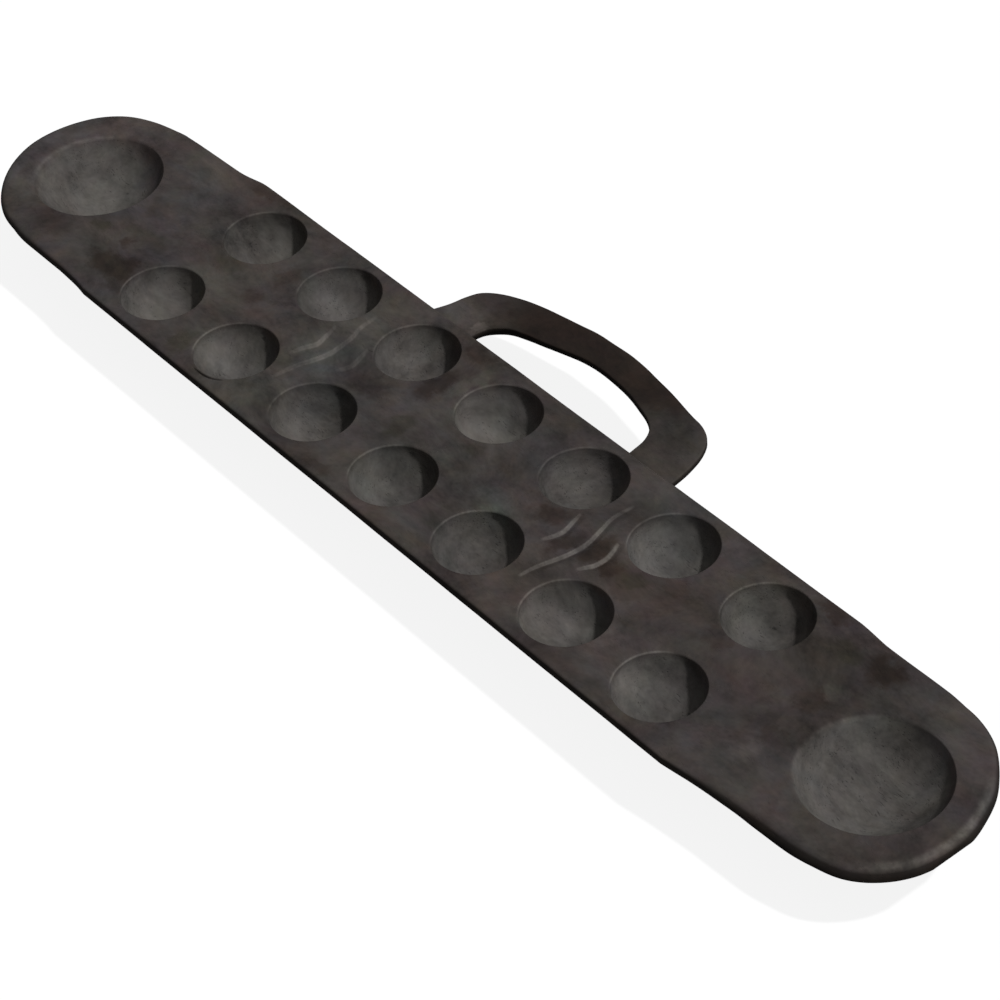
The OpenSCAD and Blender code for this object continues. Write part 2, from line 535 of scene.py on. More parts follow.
def hand_finish_tree() -> GeometryTree:
    """Gives a form the unevenness of handwork and keeps it inside a box.

    Returns:
        The tree. Wander shifts edges and rims sideways, Dish lowers the top in shallow waves, Hewing cuts
        broad tool marks into the sides, Gouging makes the bowls' walls uneven, Rest is the height below
        which nothing is moved, and Low and High are the box's corners.
    """
    rise = 12.0 * MM
    edge_left, edge_passed = 5.0 * MM, 12.0 * MM
    tool_mark = 34.0 * MM
    sizes = ("Wander", "Dish", "Hewing", "Gouging", "Rest")
    inputs = {**{name: Socket.NUMBER for name in sizes}, "Low": Socket.VECTOR, "High": Socket.VECTOR}
    tree = GeometryTree("hand_finish", inputs)
    spot = tree.place()
    height = spot.part("Z")
    top = tree.given("High").part("Z")
    raised = height.ramp(tree.given("Rest"), tree.given("Rest") + rise)
    long_waves = tree.wobble(spot, size=110.0 * MM, seed=1.5)
    drift = long_waves + tree.wobble(spot, size=34.0 * MM, seed=4.0) * 0.4
    sideways = tree.math("MULTIPLY", drift, (1.0, 1.0, 0.0)) * (tree.given("Wander") * raised * 2.0)
    lowered = tree.noise(spot, size=60.0 * MM, seed=7.0) * tree.given("Dish") * raised
    stroke = tree.math("MULTIPLY", spot, (1.0, 2.2, 2.6))
    marks = {"Vector": stroke, "Scale": 1.0 / tool_mark, "Smoothness": 0.3}
    facets = tree.get("ShaderNodeTexVoronoi", marks, "Distance", feature="SMOOTH_F1")
    normal = tree.get("GeometryNodeInputNormal")
    on_side = height.ramp(top - edge_left, top - edge_passed) * normal.part("Z").ramp(0.25, -0.1)
    uneven = tree.noise(spot, size=14.0 * MM, seed=12.0, detail=1.0) - 0.5
    cut = tree.given("Hewing") * facets * on_side * raised
    cut = cut + tree.given("Gouging") * uneven * tree.attribute("hollow")
    shaped = tree.moved(tree.given("Geometry"), Offset=sideways - tree.vector(z=lowered) - normal * cut)
    inside = tree.math("MINIMUM", tree.math("MAXIMUM", tree.place(), tree.given("Low")), tree.given("High"))
    tree.finish(tree.moved(shaped, Position=inside))
    return tree


def carved_line_tree() -> GeometryTree:
    """Cuts one line into the top: a wall on its left, and a slope that runs out on its right.

    Returns:
        The tree. The points of its guide line carry across, which points right, depth, and the strength of a
        pale rubbed colour and painted highlight on the wall, which faces the light.
    """
    untouched, touched = 7.0 * MM, 3.0 * MM
    sizes = ("Wall", "Run-out", "Top")
    tree = GeometryTree("carved_line", {"Line": Socket.OBJECT, **{name: Socket.NUMBER for name in sizes}})
    line = tree.guide("Line")
    spot = tree.place()
    level = spot - tree.vector(z=spot.part("Z")) + tree.vector(z=tree.given("Top"))
    nearest = tree.get("GeometryNodeSampleNearest", {"Geometry": line, "Sample Position": level})
    offset = level - tree.sample(line, tree.place(), nearest)
    across = tree.sample(line, tree.attribute("across", vector=True), nearest)
    right = tree.math("DOT_PRODUCT", offset, across)
    half = tree.given("Wall") * 0.5
    cut = right.ramp(half * -1.0, half) * right.ramp(half + tree.given("Run-out"), half)
    on_top = spot.part("Z").ramp(tree.given("Top") - untouched, tree.given("Top") - touched)
    depth = tree.sample(line, tree.attribute("depth"), nearest) * cut * on_top
    # The wall faces the light and takes a pale rubbed colour and painted highlight.
    on_wall = right.ramp(half * -2.0, half * -0.5) * right.ramp(half * 1.8, half * 0.5) * on_top
    wear = tree.sample(line, tree.attribute("wear"), nearest) * on_wall
    worn = tree.stored(tree.given("Geometry"), "worn", tree.math("MAXIMUM", tree.attribute("worn"), wear))
    tree.finish(tree.moved(worn, Offset=tree.vector(z=depth * -1.0)))
    return tree


@dataclass(frozen=True)
class BowlLook:
    """Colour, rubbing, painted shade and painted highlight of a bowl and of the top around it.

    The pale colour is full at pale_depth, and later by the delay on the shady wall, where the darker base
    colour left there is painted shade.
    """

    pale_depth: float
    shady_delay: float
    # A pale rubbed colour and painted highlight on the left rim and on the patch's right-hand edge
    rim_wear: float
    edge_wear: float = 0.0

    def inputs(self) -> dict[str, float]:
        """The values by the names of the bowl patch tree's inputs."""
        return {"Pale depth": self.pale_depth, "Shady delay": self.shady_delay, "Rim wear": self.rim_wear,
                "Edge wear": self.edge_wear}


@dataclass(frozen=True)
class Station:
    """A place on a swept path.

    blend and flank say how far the section has changed into its last form, for the rim and for the flank
    below it. lift is added to its heights.
    """

    middle: Vector
    outward: Vector
    width: float
    blend: float = 0.0
    flank: float = 0.0
    lift: float = 0.0
    # Strength of a pale rubbed colour and painted highlight on the crest of the rounded edge
    wear: float = 0.0


def path_guide(name: str, stations: Sequence[Station]) -> bpy.types.Object:
    """Makes the guide points of a swept path, which carry all values of its stations."""
    values = {field.name: [getattr(station, field.name) for station in stations] for field in fields(Station)}
    return guide_points(name, values.pop("middle"), **values)


@dataclass(frozen=True)
class HandCurve:
    """A smooth curve through a few measured knots, each an angle or a distance and a size in millimetres."""

    knots: tuple[tuple[float, float], ...]

    def at(self, spot: float) -> float:
        """The curve's value, which stays level beyond the first and the last knot.

        Args:
            spot: where it is read, in the unit of the knots.

        Returns:
            The size in metres.
        """
        spots = [knot[0] for knot in self.knots]
        sizes = [knot[1] for knot in self.knots]
        if spot <= spots[0]:
            return sizes[0] * MM
        if spot >= spots[-1]:
            return sizes[-1] * MM
        i = bisect.bisect_right(spots, spot) - 1
        slopes = [(sizes[min(k + 1, len(sizes) - 1)] - sizes[max(k - 1, 0)])
                  / (spots[min(k + 1, len(spots) - 1)] - spots[max(k - 1, 0)]) for k in (i, i + 1)]
        run = spots[i + 1] - spots[i]
        share = (spot - spots[i]) / run
        rise = sizes[i + 1] - sizes[i]
        leaving, arriving = (slope * run - rise for slope in slopes)
        bend = share * (1 - share) * (leaving * (1 - share) - arriving * share)
        return (sizes[i] + rise * share + bend) * MM


@dataclass(frozen=True)
class EndOutline:
    """The hand-cut outline of one end of the board.

    The shoulders give half the width against the distance from the middle of the rows. The tip gives the
    distance from the centre of the rounded end against the bearing, from -90 on the near side to 90 on the
    far side.
    """

    far_shoulder: HandCurve
    near_shoulder: HandCurve
    tip: HandCurve


LEFT_END = EndOutline(
    HandCurve(((288.75, 78), (298, 77.6), (310, 75.2), (320, 74.0), (346, 73.5), (366, 73.0), (381.5, 72.2))),
    HandCurve(((288.75, 78), (298, 76.6), (310, 75.8), (322, 75.3), (352, 75.2), (364, 75.1), (373, 74.3),
               (381.5, 72.8))),
    HandCurve(((-90, 72.8), (-85, 72.2), (-70, 70.7), (-55, 69.0), (-40, 68.7), (-25, 69.2), (-10, 70.4),
               (5, 71.1), (20, 72.1), (35, 73.3), (50, 73.2), (65, 71.6), (80, 70.9), (90, 72.2))))
RIGHT_END = EndOutline(
    HandCurve(((288.75, 78), (298, 77.2), (310, 76.0), (320, 75.9), (362, 76.2), (370, 75.6), (376.5, 74.8))),
    HandCurve(((288.75, 78), (298, 76.8), (310, 75.2), (322, 74.0), (334, 73.1), (346, 72.3), (358, 72.1),
               (376.5, 71.5))),
    HandCurve(((-90, 71.5), (-85, 71.4), (-70, 72.4), (-55, 75.7), (-40, 76.4), (-25, 75.5), (-10, 73.2),
               (5, 71.6), (20, 69.9), (35, 70.2), (50, 70.9), (65, 72.9), (80, 74.2), (90, 74.8))))


@dataclass(frozen=True)
class CarvedLine:
    """A carved line. Its points are counted in bowl spacings from the middle of the top, from far to near."""

    points: tuple[tuple[float, float], ...]
    depth: float
    wall: float
    run_out: float
    # Strength of a pale rubbed colour and painted highlight on the line's wall
    wear: float
    steps: int = 24

    def traced(self, pitch: float, top: float) -> list[Vector]:
        """The line as close points on a smooth curve.

        Args:
            pitch: the bowl spacing.
            top: height of the board's top.

        Returns:
            The points, in order.
        """
        knots = [Vector((x * pitch, y * pitch, top)) for x, y in self.points]
        knots = [knots[0] * 2 - knots[1], *knots, knots[-1] * 2 - knots[-2]]
        found = []
        for a, b, c, d in zip(knots, knots[1:], knots[2:], knots[3:]):
            for step in range(self.steps):
                t = step / self.steps
                shift = (c - a) * t + (2 * a - 5 * b + 4 * c - d) * t ** 2 + (3 * b - a - 3 * c + d) * t ** 3
                found.append(b + shift / 2)
        return found

    def guide(self, name: str, pitch: float, top: float) -> bpy.types.Object:
        """Makes the guide points that the carving tree follows, with a depth that fades out at both ends.

        Args:
            name: name of the guide.
            pitch: the bowl spacing.
            top: height of the board's top.

        Returns:
            The guide.
        """
        spots = self.traced(pitch, top)
        ahead = spots[1:] + [spots[-1] * 2 - spots[-2]]
        across = [Vector((p.y - q.y, q.x - p.x, 0.0)).normalized() for p, q in zip(spots, ahead)]
        last = len(spots) - 1
        fade = [math.sin(math.pi * i / last) ** 0.5 if 0 < i < last else 0.0 for i in range(len(spots))]
        return guide_points(name, spots, across=across, depth=[self.depth * share for share in fade],
                            wear=[self.wear * share for share in fade])


def weld_and_turn_out(mesh: bpy.types.Mesh) -> None:
    """Removes doubled points and faces with no area, and turns all faces outwards.

    Args:
        mesh: the mesh, which is changed.
    """
    shape = bmesh.new()
    shape.from_mesh(mesh)
    bmesh.ops.remove_doubles(shape, verts=shape.verts, dist=WELD)
    bmesh.ops.dissolve_degenerate(shape, edges=shape.edges, dist=WELD)
    bmesh.ops.recalc_face_normals(shape, faces=shape.faces)
    log.info("%s: %d faces, %d open edges", mesh.name, len(shape.faces),
             sum(not edge.is_manifold for edge in shape.edges))
    shape.to_mesh(mesh)
    shape.free()
    mesh.shade_smooth()


def cut_and_join(piece: bpy.types.Object, steps: Sequence[tuple[str, bpy.types.Object]]) -> None:
    """Cuts other solids out of a piece, or joins them to it.

    Args:
        piece: the piece, whose mesh is replaced.
        steps: pairs of Blender's operation name, DIFFERENCE or UNION, and the other solid.
    """
    for operation, other in steps:
        modifier = piece.modifiers.new(operation, "BOOLEAN")
        modifier.operation = operation
        modifier.solver = "MANIFOLD"
        modifier.object = other
    made = modified_mesh(piece)
    piece.modifiers.clear()
    piece.data = made
    made.name = piece.name


def shaded(piece: bpy.types.Object) -> bpy.types.Object:
    """Shades a piece smooth between its sharp edges and reports it.

    Args:
        piece: the piece.

    Returns:
        The same piece.
    """
    piece.data.shade_smooth()
    piece.data.set_sharp_from_angle(angle=SHARP)
    log.info("%s: %d faces", piece.name, len(piece.data.polygons))
    return piece


def eased(share: float) -> float:
    """Rises smoothly from 0 to 1 as share does, and stays there beyond."""
    share = min(max(share, 0.0), 1.0)
    return share * share * (3 - 2 * share)


# A distance across and a height
Spot = tuple[float, float]


def arc(middle: Spot, reach: Spot, first: float, last: float, steps: int) -> list[Spot]:
    """Makes a row of points on part of an oval.

    Args:
        middle: the oval's centre.
        reach: how far the oval reaches from it, across and up.
        first: angle of the first point, from across towards up.
        last: angle of the last point.
        steps: how many steps there are between them.

    Returns:
        The points, with both ends.
    """
    angles = [first + (last - first) * step / steps for step in range(steps + 1)]
    return [(middle[0] + reach[0] * math.cos(a), middle[1] + reach[1] * math.sin(a)) for a in angles]


def straight_on(points: list[Spot], end: Spot, steps: int) -> list[Spot]:
    """Carries a row of points on in a straight line.

    Args:
        points: the row so far.
        end: where the line ends.
        steps: how many points are added.

    Returns:
        The added points, the last of which is the end.
    """
    across, height = points[-1]
    shares = [step / steps for step in range(1, steps + 1)]
    return [(across + (end[0] - across) * share, height + (end[1] - height) * share) for share in shares]


def upright(points: list[Spot]) -> list[Vector]:
    """Points with their distance across in X and their height in Z."""
    return [Vector((across, 0.0, height)) for across, height in points]


@dataclass(frozen=True)
class PegJoint:
    """The mortise and tenon of one leg, with the peg that locks it. Sizes are those of the solid parts."""

    side: int
    top: float
    half_width: float
    from_middle: float = 117.0 * MM
    width: float = 9.0 * MM
    height: float = 5.0 * MM
    reach: float = 24.0 * MM
    relief: float = 1.0 * MM
    below_top: float = 6.0 * MM
    overshoot: float = 3.0 * MM
    peg_segments: int = 48

    def tenon(self, relief: float = 0.0) -> bpy.types.Object:
        """Makes a block for the tenon, or for its mortise.

        Args:
            relief: how much longer than the tenon the block is.

        Returns:
            The block.
        """
        drop = self.below_top + (LEFT_DROP if self.side < 0 else 0.0)
        length = self.reach + relief
        middle = Vector((self.side * self.from_middle, self.half_width - length / 2, self.top - drop))
        size = Matrix.Diagonal((self.width, length, self.height, 1.0))
        shape = bmesh.new()
        bmesh.ops.create_cube(shape, size=1.0, matrix=Matrix.Translation(middle) @ size)
        return from_shape("tenon_block", shape)

    def peg_hole(self) -> bpy.types.Object:
        """Makes a round cutter as wide as the peg.

        Returns:
            The cutter, which starts below the peg and ends with it.
        """
        low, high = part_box("left_tenon_peg" if self.side < 0 else "right_tenon_peg")
        radius = (high.x - low.x) / 2
        rod = high.z - low.z + self.overshoot
        middle = Vector(((low.x + high.x) / 2, (low.y + high.y) / 2, high.z - rod / 2))
        shape = bmesh.new()
        bmesh.ops.create_cone(shape, cap_ends=True, segments=self.peg_segments, radius1=radius,
                              radius2=radius, depth=rod, matrix=Matrix.Translation(middle))
        return from_shape("peg_cutter", shape)


@dataclass(frozen=True)
class EdgeForm:
    """The hull's rounded top edge, and the side below it.

    lean is the side's angle from upright, and darkening says how soon on the edge the dark side colour
    begins, which is partly painted shade.
    """

    width: float
    drop: float
    lean: float
    darkening: float


@dataclass(frozen=True)
class BowlForm:
    """Sizes of one kind of bowl, and the rings of faces on the flat round it.

    The rim is rounded by crisp_rim on one side and by soft_rim on the other. A spacing above 1 brings the
    rings closer to the rim.
    """

    radius: float
    depth: float
    crisp_rim: float
    soft_rim: float
    rings: int
    spacing: float
    ball_steps: int = 12
    rim_steps: int = 5

    def section(self, ease: float) -> list[Vector]:
        """Half a section of the bowl, from its lowest point to the flat outside its rounded rim.

        Args:
            ease: radius of the rounded rim.

        Returns:
            The points, with the distance from the bowl's axis in X and the height above the top in Z.
        """
        ball = (self.radius ** 2 + self.depth ** 2) / (2 * self.depth)
        centre = ball - self.depth
        ease_x = math.sqrt((ball + ease) ** 2 - (centre + ease) ** 2)
        touch = math.atan2(ease_x, centre + ease)
        hollow = arc((0.0, centre), (ball, ball), -QUARTER, touch - QUARTER, self.ball_steps)
        rim = arc((ease_x, -ease), (ease, ease), QUARTER + touch, QUARTER, self.rim_steps)
        return upright(hollow + rim[1:])


@dataclass(frozen=True)
class Board:
    """The board: its hull, its sixteen bowls, the carved wave lines and the holes for the handle's joint."""

    half_length: float
    middle_x: float
    box_half_width: float
    top: float
    pitch: float = 82.5 * MM
    bowls_per_row: int = 7
    row_distance: float = 42.0 * MM
    planed_off: float = 0.05 * MM
    end_radius: float = 71.0 * MM
    land: float = 5.6 * MM
    bilge_radius: float = 14.0 * MM
    middle_edge: EdgeForm = EdgeForm(1.8 * MM, 1.8 * MM, math.radians(32.5), darkening=1.6)
    # The ends' edges take the dark side colour sooner, as painted shade beyond the crest
    end_edge: EdgeForm = EdgeForm(6.0 * MM, 4.3 * MM, math.radians(50.0), darkening=3.2)
    leaning_from: float = 235.0 * MM
    leaning_to: float = 365.0 * MM
    left_softness: float = 0.5
    right_softness: float = 0.95
    softness_swing: float = 0.5
    # How the crest's pale rubbed colour and painted highlight follow the way the right end faces the light
    wear_gain: float = 2.4
    wear_loss: float = 1.3
    wear_turn: float = 6.0
    large_bowl_distance: float = 382.0 * MM
    small_bowl: BowlForm = BowlForm(28.1 * MM, 26.0 * MM, crisp_rim=0.8 * MM, soft_rim=1.8 * MM,
                                    rings=11, spacing=1.25)
    large_bowl: BowlForm = BowlForm(45.0 * MM, 29.0 * MM, crisp_rim=0.8 * MM, soft_rim=5.0 * MM,
                                    rings=18, spacing=1.2)
    # The delays paint shade on the bowls' shady walls; the rim and edge values give a pale rubbed colour and
    # painted highlight.
    small_look: BowlLook = BowlLook(3.5 * MM, 17.0 * MM, rim_wear=0.75)
    left_large_look: BowlLook = BowlLook(6.0 * MM, 24.0 * MM, rim_wear=0.5)
    right_large_look: BowlLook = BowlLook(2.5 * MM, 8.0 * MM, rim_wear=0.6, edge_wear=1.0)
    side_steps: int = 20
    straight_steps: int = 32
    turn_steps: int = 96
    edge_steps: int = 6
    land_steps: int = 3
    flank_steps: int = 7
    bilge_steps: int = 5
    belly_steps: int = 5
    wander: float = 0.35 * MM
    dish: float = 0.7 * MM
    hewing: float = 0.8 * MM
    gouging: float = 3.2 * MM
    untouched: float = 0.5 * MM
    fine_reach: float = 5.0 * MM
    fine_cuts: int = 5

    @classmethod
    def from_frame(cls) -> "Board":
        """Takes the overall sizes from the solid board.

        Returns:
            The board with these sizes.
        """
        low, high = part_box("board")
        return cls(half_length=(high.x - low.x) / 2, middle_x=(high.x + low.x) / 2,
                   box_half_width=high.y, top=high.z)

    @property
    def half_width(self) -> float:
        """Half the width of the middle stretch, a little inside the solid board."""
        return self.box_half_width - self.planed_off

    @property
    def middle_reach(self) -> float:
        """Half the length of the middle stretch, where the small bowls are."""
        return self.pitch * self.bowls_per_row / 2

    def end_x(self, side: int) -> float:
        """Where the centre of a rounded end is, on the right for a side of 1 and on the left for -1."""
        return self.middle_x + side * (self.half_length - self.end_radius)

    def large_bowl_x(self, side: int) -> float:
        """Where a large bowl's centre is."""
        return self.middle_x + side * self.large_bowl_distance

    def wave_lines(self) -> list[CarvedLine]:
        """The six wave lines, three in each group, and the short crack under one near bowl.

        Returns:
            The lines, from the left group to the right and the crack last.
        """
        # The last value of each is the strength of a pale rubbed colour and painted highlight on the line's
        # wall
        soft = {"depth": 1.8 * MM, "wall": 2.2 * MM, "run_out": 11.0 * MM, "wear": 0.6}
        crisp = {"depth": 1.7 * MM, "wall": 1.7 * MM, "run_out": 5.0 * MM, "wear": 0.95}
        fine = {"depth": 1.6 * MM, "wall": 0.8 * MM, "run_out": 1.0 * MM, "wear": 0.0}
        return [
            CarvedLine(((-1.7, .25), (-1.645, .08), (-1.63, 0), (-1.665, -.1), (-1.69, -.23)), **soft),
            CarvedLine(((-1.565, .56), (-1.55, .38), (-1.505, .26), (-1.475, .1), (-1.468, 0), (-1.495, -.14),
                        (-1.525, -.24), (-1.545, -.4), (-1.55, -.5)), **soft),
            CarvedLine(((-1.295, .25), (-1.245, .1), (-1.232, .02), (-1.265, -.09)), **soft),
            CarvedLine(((1.28, .24), (1.31, .13), (1.335, .03), (1.325, -.06), (1.29, -.16)), **crisp),
            CarvedLine(((1.487, .58), (1.475, .384), (1.51, .242), (1.548, .1), (1.556, 0), (1.54, -.14),
                        (1.505, -.283), (1.483, -.404), (1.48, -.525)), **crisp),
            CarvedLine(((1.71, .23), (1.745, .15), (1.77, .06), (1.765, -.04), (1.735, -.11), (1.71, -.17)),
                       **crisp),
            CarvedLine(((-1.78, -.79), (-1.86, -.84), (-1.95, -.863), (-2.07, -.868)), **fine),
        ]

    def end_share(self, x: float) -> float:
        """How far the rim at x has turned into that of the ends, from 0 to 1."""
        reach = abs(self.end_x(1 if x > 0 else -1))
        return eased((abs(x) - self.middle_reach) / (reach - self.middle_reach))

    def station(self, x: float, bearing: float) -> Station:
        """A place on the hull's path.

        Args:
            x: where it is along the middle line.
            bearing: the way outwards, as an angle from the X axis.

        Returns:
            The station, with its width and its blends of the two sections.
        """
        outward = Vector((math.cos(bearing), math.sin(bearing), 0.0))
        side = 1 if x > 0 else -1
        end = RIGHT_END if side > 0 else LEFT_END
        turned = math.degrees(math.atan2(outward.y, side * outward.x))
        on_tip = abs(turned) < SIDEWAYS
        if abs(x) <= self.middle_reach:
            width = self.half_width
        elif on_tip:
            width = end.tip.at(turned)
        else:
            shoulder = end.far_shoulder if outward.y > 0 else end.near_shoulder
            width = shoulder.at(abs(x) / MM)
        flank = eased((abs(x) - self.leaning_from) / (self.leaning_to - self.leaning_from))
        share = self.end_share(x)
        softness, wear = self.left_softness, 0.0
        if side > 0:
            # On the right end the crest takes a pale rubbed colour and painted highlight where it faces the
            # light
            softness = self.right_softness - self.softness_swing * outward.y
            facing = math.cos(math.radians(turned + self.wear_turn))
            wear = share * eased(self.wear_gain * facing - self.wear_loss)
        return Station(Vector((x, 0.0, 0.0)), outward, width, share * softness, flank, wear=wear)

    def end_stations(self, side: int) -> list[Station]:
        """The stations round one end, clockwise seen from above.

        Args:
            side: 1 for the right end and -1 for the left end.

        Returns:
            The stations, the first and last of which also belong to the middle stretch.
        """
        found = []
        total = 2 * self.straight_steps + self.turn_steps
        for step in range(total + 1):
            out = min(min(step, total - step) / self.straight_steps, 1.0)
            turned = min(max((step - self.straight_steps) / self.turn_steps, 0.0), 1.0)
            x = self.middle_reach + (side * self.end_x(side) - self.middle_reach) * out
            found.append(self.station(side * x, math.pi * (0.5 - turned) + (0 if side > 0 else math.pi)))
        return found

    def hull_stations(self) -> list[Station]:
        """The whole path round the board.

        Returns:
            The stations, clockwise seen from above and closed.
        """
        found = []
        count = self.side_steps * self.bowls_per_row
        for side in (1, -1):
            for step in range(count):
                x = self.middle_reach * (2 * step / count - 1)
                found.append(self.station(side * x, side * math.pi / 2))
            found += self.end_stations(side)[:-1]
        return found + found[:1]

    def edge_inset(self, station: Station) -> float:
        """How far inside the outline the rounded edge begins."""
        return self.middle_edge.width + (self.end_edge.width - self.middle_edge.width) * station.blend

    def hull_section(self, edge: EdgeForm) -> tuple[list[Vector], dict[str, list[float]]]:
        """Half a section of the board, from its rounded top edge down and in to its middle line.

        Args:
            edge: form of the top edge and the side.

        Returns:
            The points, as distances from the outline, and the values that the sweep reads on them.
        """
        side_from, crest_full, crest_fall = 0.15, 1.1, 5.0
        bilge, lean = self.bilge_radius, edge.lean
        corner = self.top - self.land
        touch = bilge * (1 - math.sin(lean))
        centre = -(corner - touch) * math.tan(lean) - bilge * math.cos(lean)
        points = arc((-edge.width, self.top - edge.drop), (edge.width, edge.drop), QUARTER, 0.0,
                     self.edge_steps)
        points += straight_on(points, (0.0, corner), self.land_steps)
        points += straight_on(points, ((touch - corner) * math.tan(lean), touch), self.flank_steps)
        points += arc((centre, bilge), (bilge, bilge), -lean, -QUARTER, self.bilge_steps)[1:]
        shares = [1.0] * len(points)
        points += straight_on(points, (0.0, 0.0), self.belly_steps)
        shares += [1 - step / self.belly_steps for step in range(1, self.belly_steps + 1)]
        drops = [(self.top - height) / edge.drop for _, height in points]
        values = {
            "share": shares,
            "below": [1.0 if height < corner else 0.0 for _, height in points],
            # The dark side colour, partly painted shade, begins on the rounded edge
            "side": [eased(drop * edge.darkening - side_from) for drop in drops],
            "crest": [eased(crest_full - crest_fall * drop) for drop in drops],
        }
        return upright(points), values

    def straight_block(self, inset: float) -> bpy.types.Object:
        """A solid with the hull's middle section, to fit the handle's legs to.

        Args:
            inset: how far its far side lies inside the hull's.

        Returns:
            The block, which is higher than the board.
        """
        points = self.hull_section(self.middle_edge)[0]
        above = self.top + self.middle_edge.drop
        side = [Vector((0.0, 0.0, above)), *points[self.edge_steps:-self.belly_steps]]
        outline = [(self.box_half_width - inset + spot.x, spot.z) for spot in side]
        outline += [(0.0, 0.0), (0.0, above)]
        shape = bmesh.new()
        ends = [[shape.verts.new((x, y, z)) for y, z in outline]
                for x in (-self.middle_reach, self.middle_reach)]
        for ring in ends:
            shape.faces.new(ring)
        for i in range(len(outline)):
            shape.faces.new((ends[0][i - 1], ends[0][i], ends[1][i], ends[1][i - 1]))
        bmesh.ops.recalc_face_normals(shape, faces=shape.faces)
        return from_shape("straight_block", shape)

    def cell_outline(self, row: int) -> list[Vector]:
        """The rectangle of top that one small bowl has, seen from the bowl's centre, clockwise from a corner.

        Args:
            row: 1 for the far row and -1 for the near row.

        Returns:
            The closed outline, with the same number of steps on each side.
        """
        reach = self.half_width - self.middle_edge.width
        low, high = sorted((-row * self.row_distance, row * (reach - self.row_distance)))
        left, right = -self.pitch / 2, self.pitch / 2
        corners = [Vector(p) for p in ((left, low, 0), (left, high, 0), (right, high, 0), (right, low, 0))]
        found = []
        for start, end in zip(corners, corners[1:] + corners[:1]):
            found += [start.lerp(end, step / self.side_steps) for step in range(self.side_steps)]
        return found + found[:1]

    def end_outline(self, side: int) -> list[Vector]:
        """The top of one rounded end, seen from the large bowl's centre, clockwise.

        Args:
            side: 1 for the right end and -1 for the left end.

        Returns:
            The closed outline. It begins with the straight line that it shares with the small bowls' cells.
        """
        reach = self.half_width - self.middle_edge.width
        line_x = side * self.middle_reach
        count = 2 * self.side_steps
        line = [Vector((line_x, side * reach * (2 * step / count - 1), 0.0)) for step in range(count)]
        curve = [s.middle + s.outward * (s.width - self.edge_inset(s)) for s in self.end_stations(side)]
        centre = Vector((self.large_bowl_x(side), 0.0, 0.0))
        return [spot - centre for spot in line + curve[:-1] + line[:1]]

    @staticmethod
    def patch(name: str, centres: list[Vector], outline: list[Vector], bowl: BowlForm, look: BowlLook,
              material: bpy.types.Material) -> bpy.types.Object:
        """Makes the top round one or more like bowls.

        Args:
            name: name of the patch.
            centres: where the bowls are.
            outline: the patch's closed outline, seen from a centre.
            bowl: sizes of the bowls.
            look: colour and wear of the bowls.
            material: the finish.

        Returns:
            The patch as an object.
        """
        sections = [bowl.section(ease) for ease in (bowl.crisp_rim, bowl.soft_rim)]
        guides = [guide_points("patch_guide", points) for points in (centres, outline, *sections)]
        values = dict(zip(("Centres", "Outline", "Crisp section", "Soft section"), guides))
        values.update(look.inputs())
        values.update({"Flat rings": bowl.rings, "Ring spacing": bowl.spacing, "Material": material})
        made = new_object(name, grow(name, (bowl_patch_tree(), values)))
        discard(*guides)
        return made

    def hull(self, material: bpy.types.Material) -> bpy.types.Object:
        """Makes the edge, the leaning sides and the underside in one sweep round the board.

        Args:
            material: the finish.

        Returns:
            The hull as an object that is open at the top.
        """
        path = path_guide("hull_path", self.hull_stations())
        sections = []
        for edge in (self.middle_edge, self.end_edge):
            points, values = self.hull_section(edge)
            sections.append(guide_points("hull_section", points, **values))
        sweep = {"Path": path, "First section": sections[0], "Last section": sections[1],
                 "Material": material}
        made = new_object("hull", grow("hull", (section_sweep_tree(), sweep)))
        discard(path, *sections)
        return made

    def skin(self, material: bpy.types.Material) -> bpy.types.Mesh:
        """Joins the hull and all patches of the top into one closed mesh.

        Args:
            material: the finish.

        Returns:
            The mesh.
        """
        parts = [self.hull(material)]
        first = -(self.bowls_per_row - 1) / 2
        for row in (-1, 1):
            centres = [Vector(((first + column) * self.pitch, row * self.row_distance, self.top))
                       for column in range(self.bowls_per_row)]
            parts.append(self.patch("row_of_bowls", centres, self.cell_outline(row), self.small_bowl,
                                    self.small_look, material))
        for side, look in ((-1, self.left_large_look), (1, self.right_large_look)):
            centre = Vector((self.large_bowl_x(side), 0.0, self.top))
            parts.append(self.patch("large_bowl", [centre], self.end_outline(side), self.large_bowl, look,
                                    material))
        together = bpy.data.collections.new("board_parts")
        for part in parts:
            together.objects.link(part)
        values = {"Parts": together, "Weld": WELD, "Material": material}
        skin = grow("board_carved", (one_skin_tree(), values))
        discard(*parts)
        bpy.data.collections.remove(together)
        weld_and_turn_out(skin)
        return skin

    def refine(self, skin: bpy.types.Mesh) -> None:
        """Splits the faces of the top near the carved lines, so that the lines come out crisp.

        Args:
            skin: the board's mesh, which is changed.
        """
        spots = [spot for line in self.wave_lines() for spot in line.traced(self.pitch, self.top)]
        shape = bmesh.new()
        shape.from_mesh(skin)
        level = self.top - self.small_bowl.crisp_rim
        near = [face for face in shape.faces if face.calc_center_median().z > level
                and min((face.calc_center_median() - spot).length for spot in spots) < self.fine_reach]
        edges = {edge for face in near for edge in face.edges}
        bmesh.ops.subdivide_edges(shape, edges=list(edges), cuts=self.fine_cuts, use_grid_fill=True)
        shape.to_mesh(skin)
        shape.free()

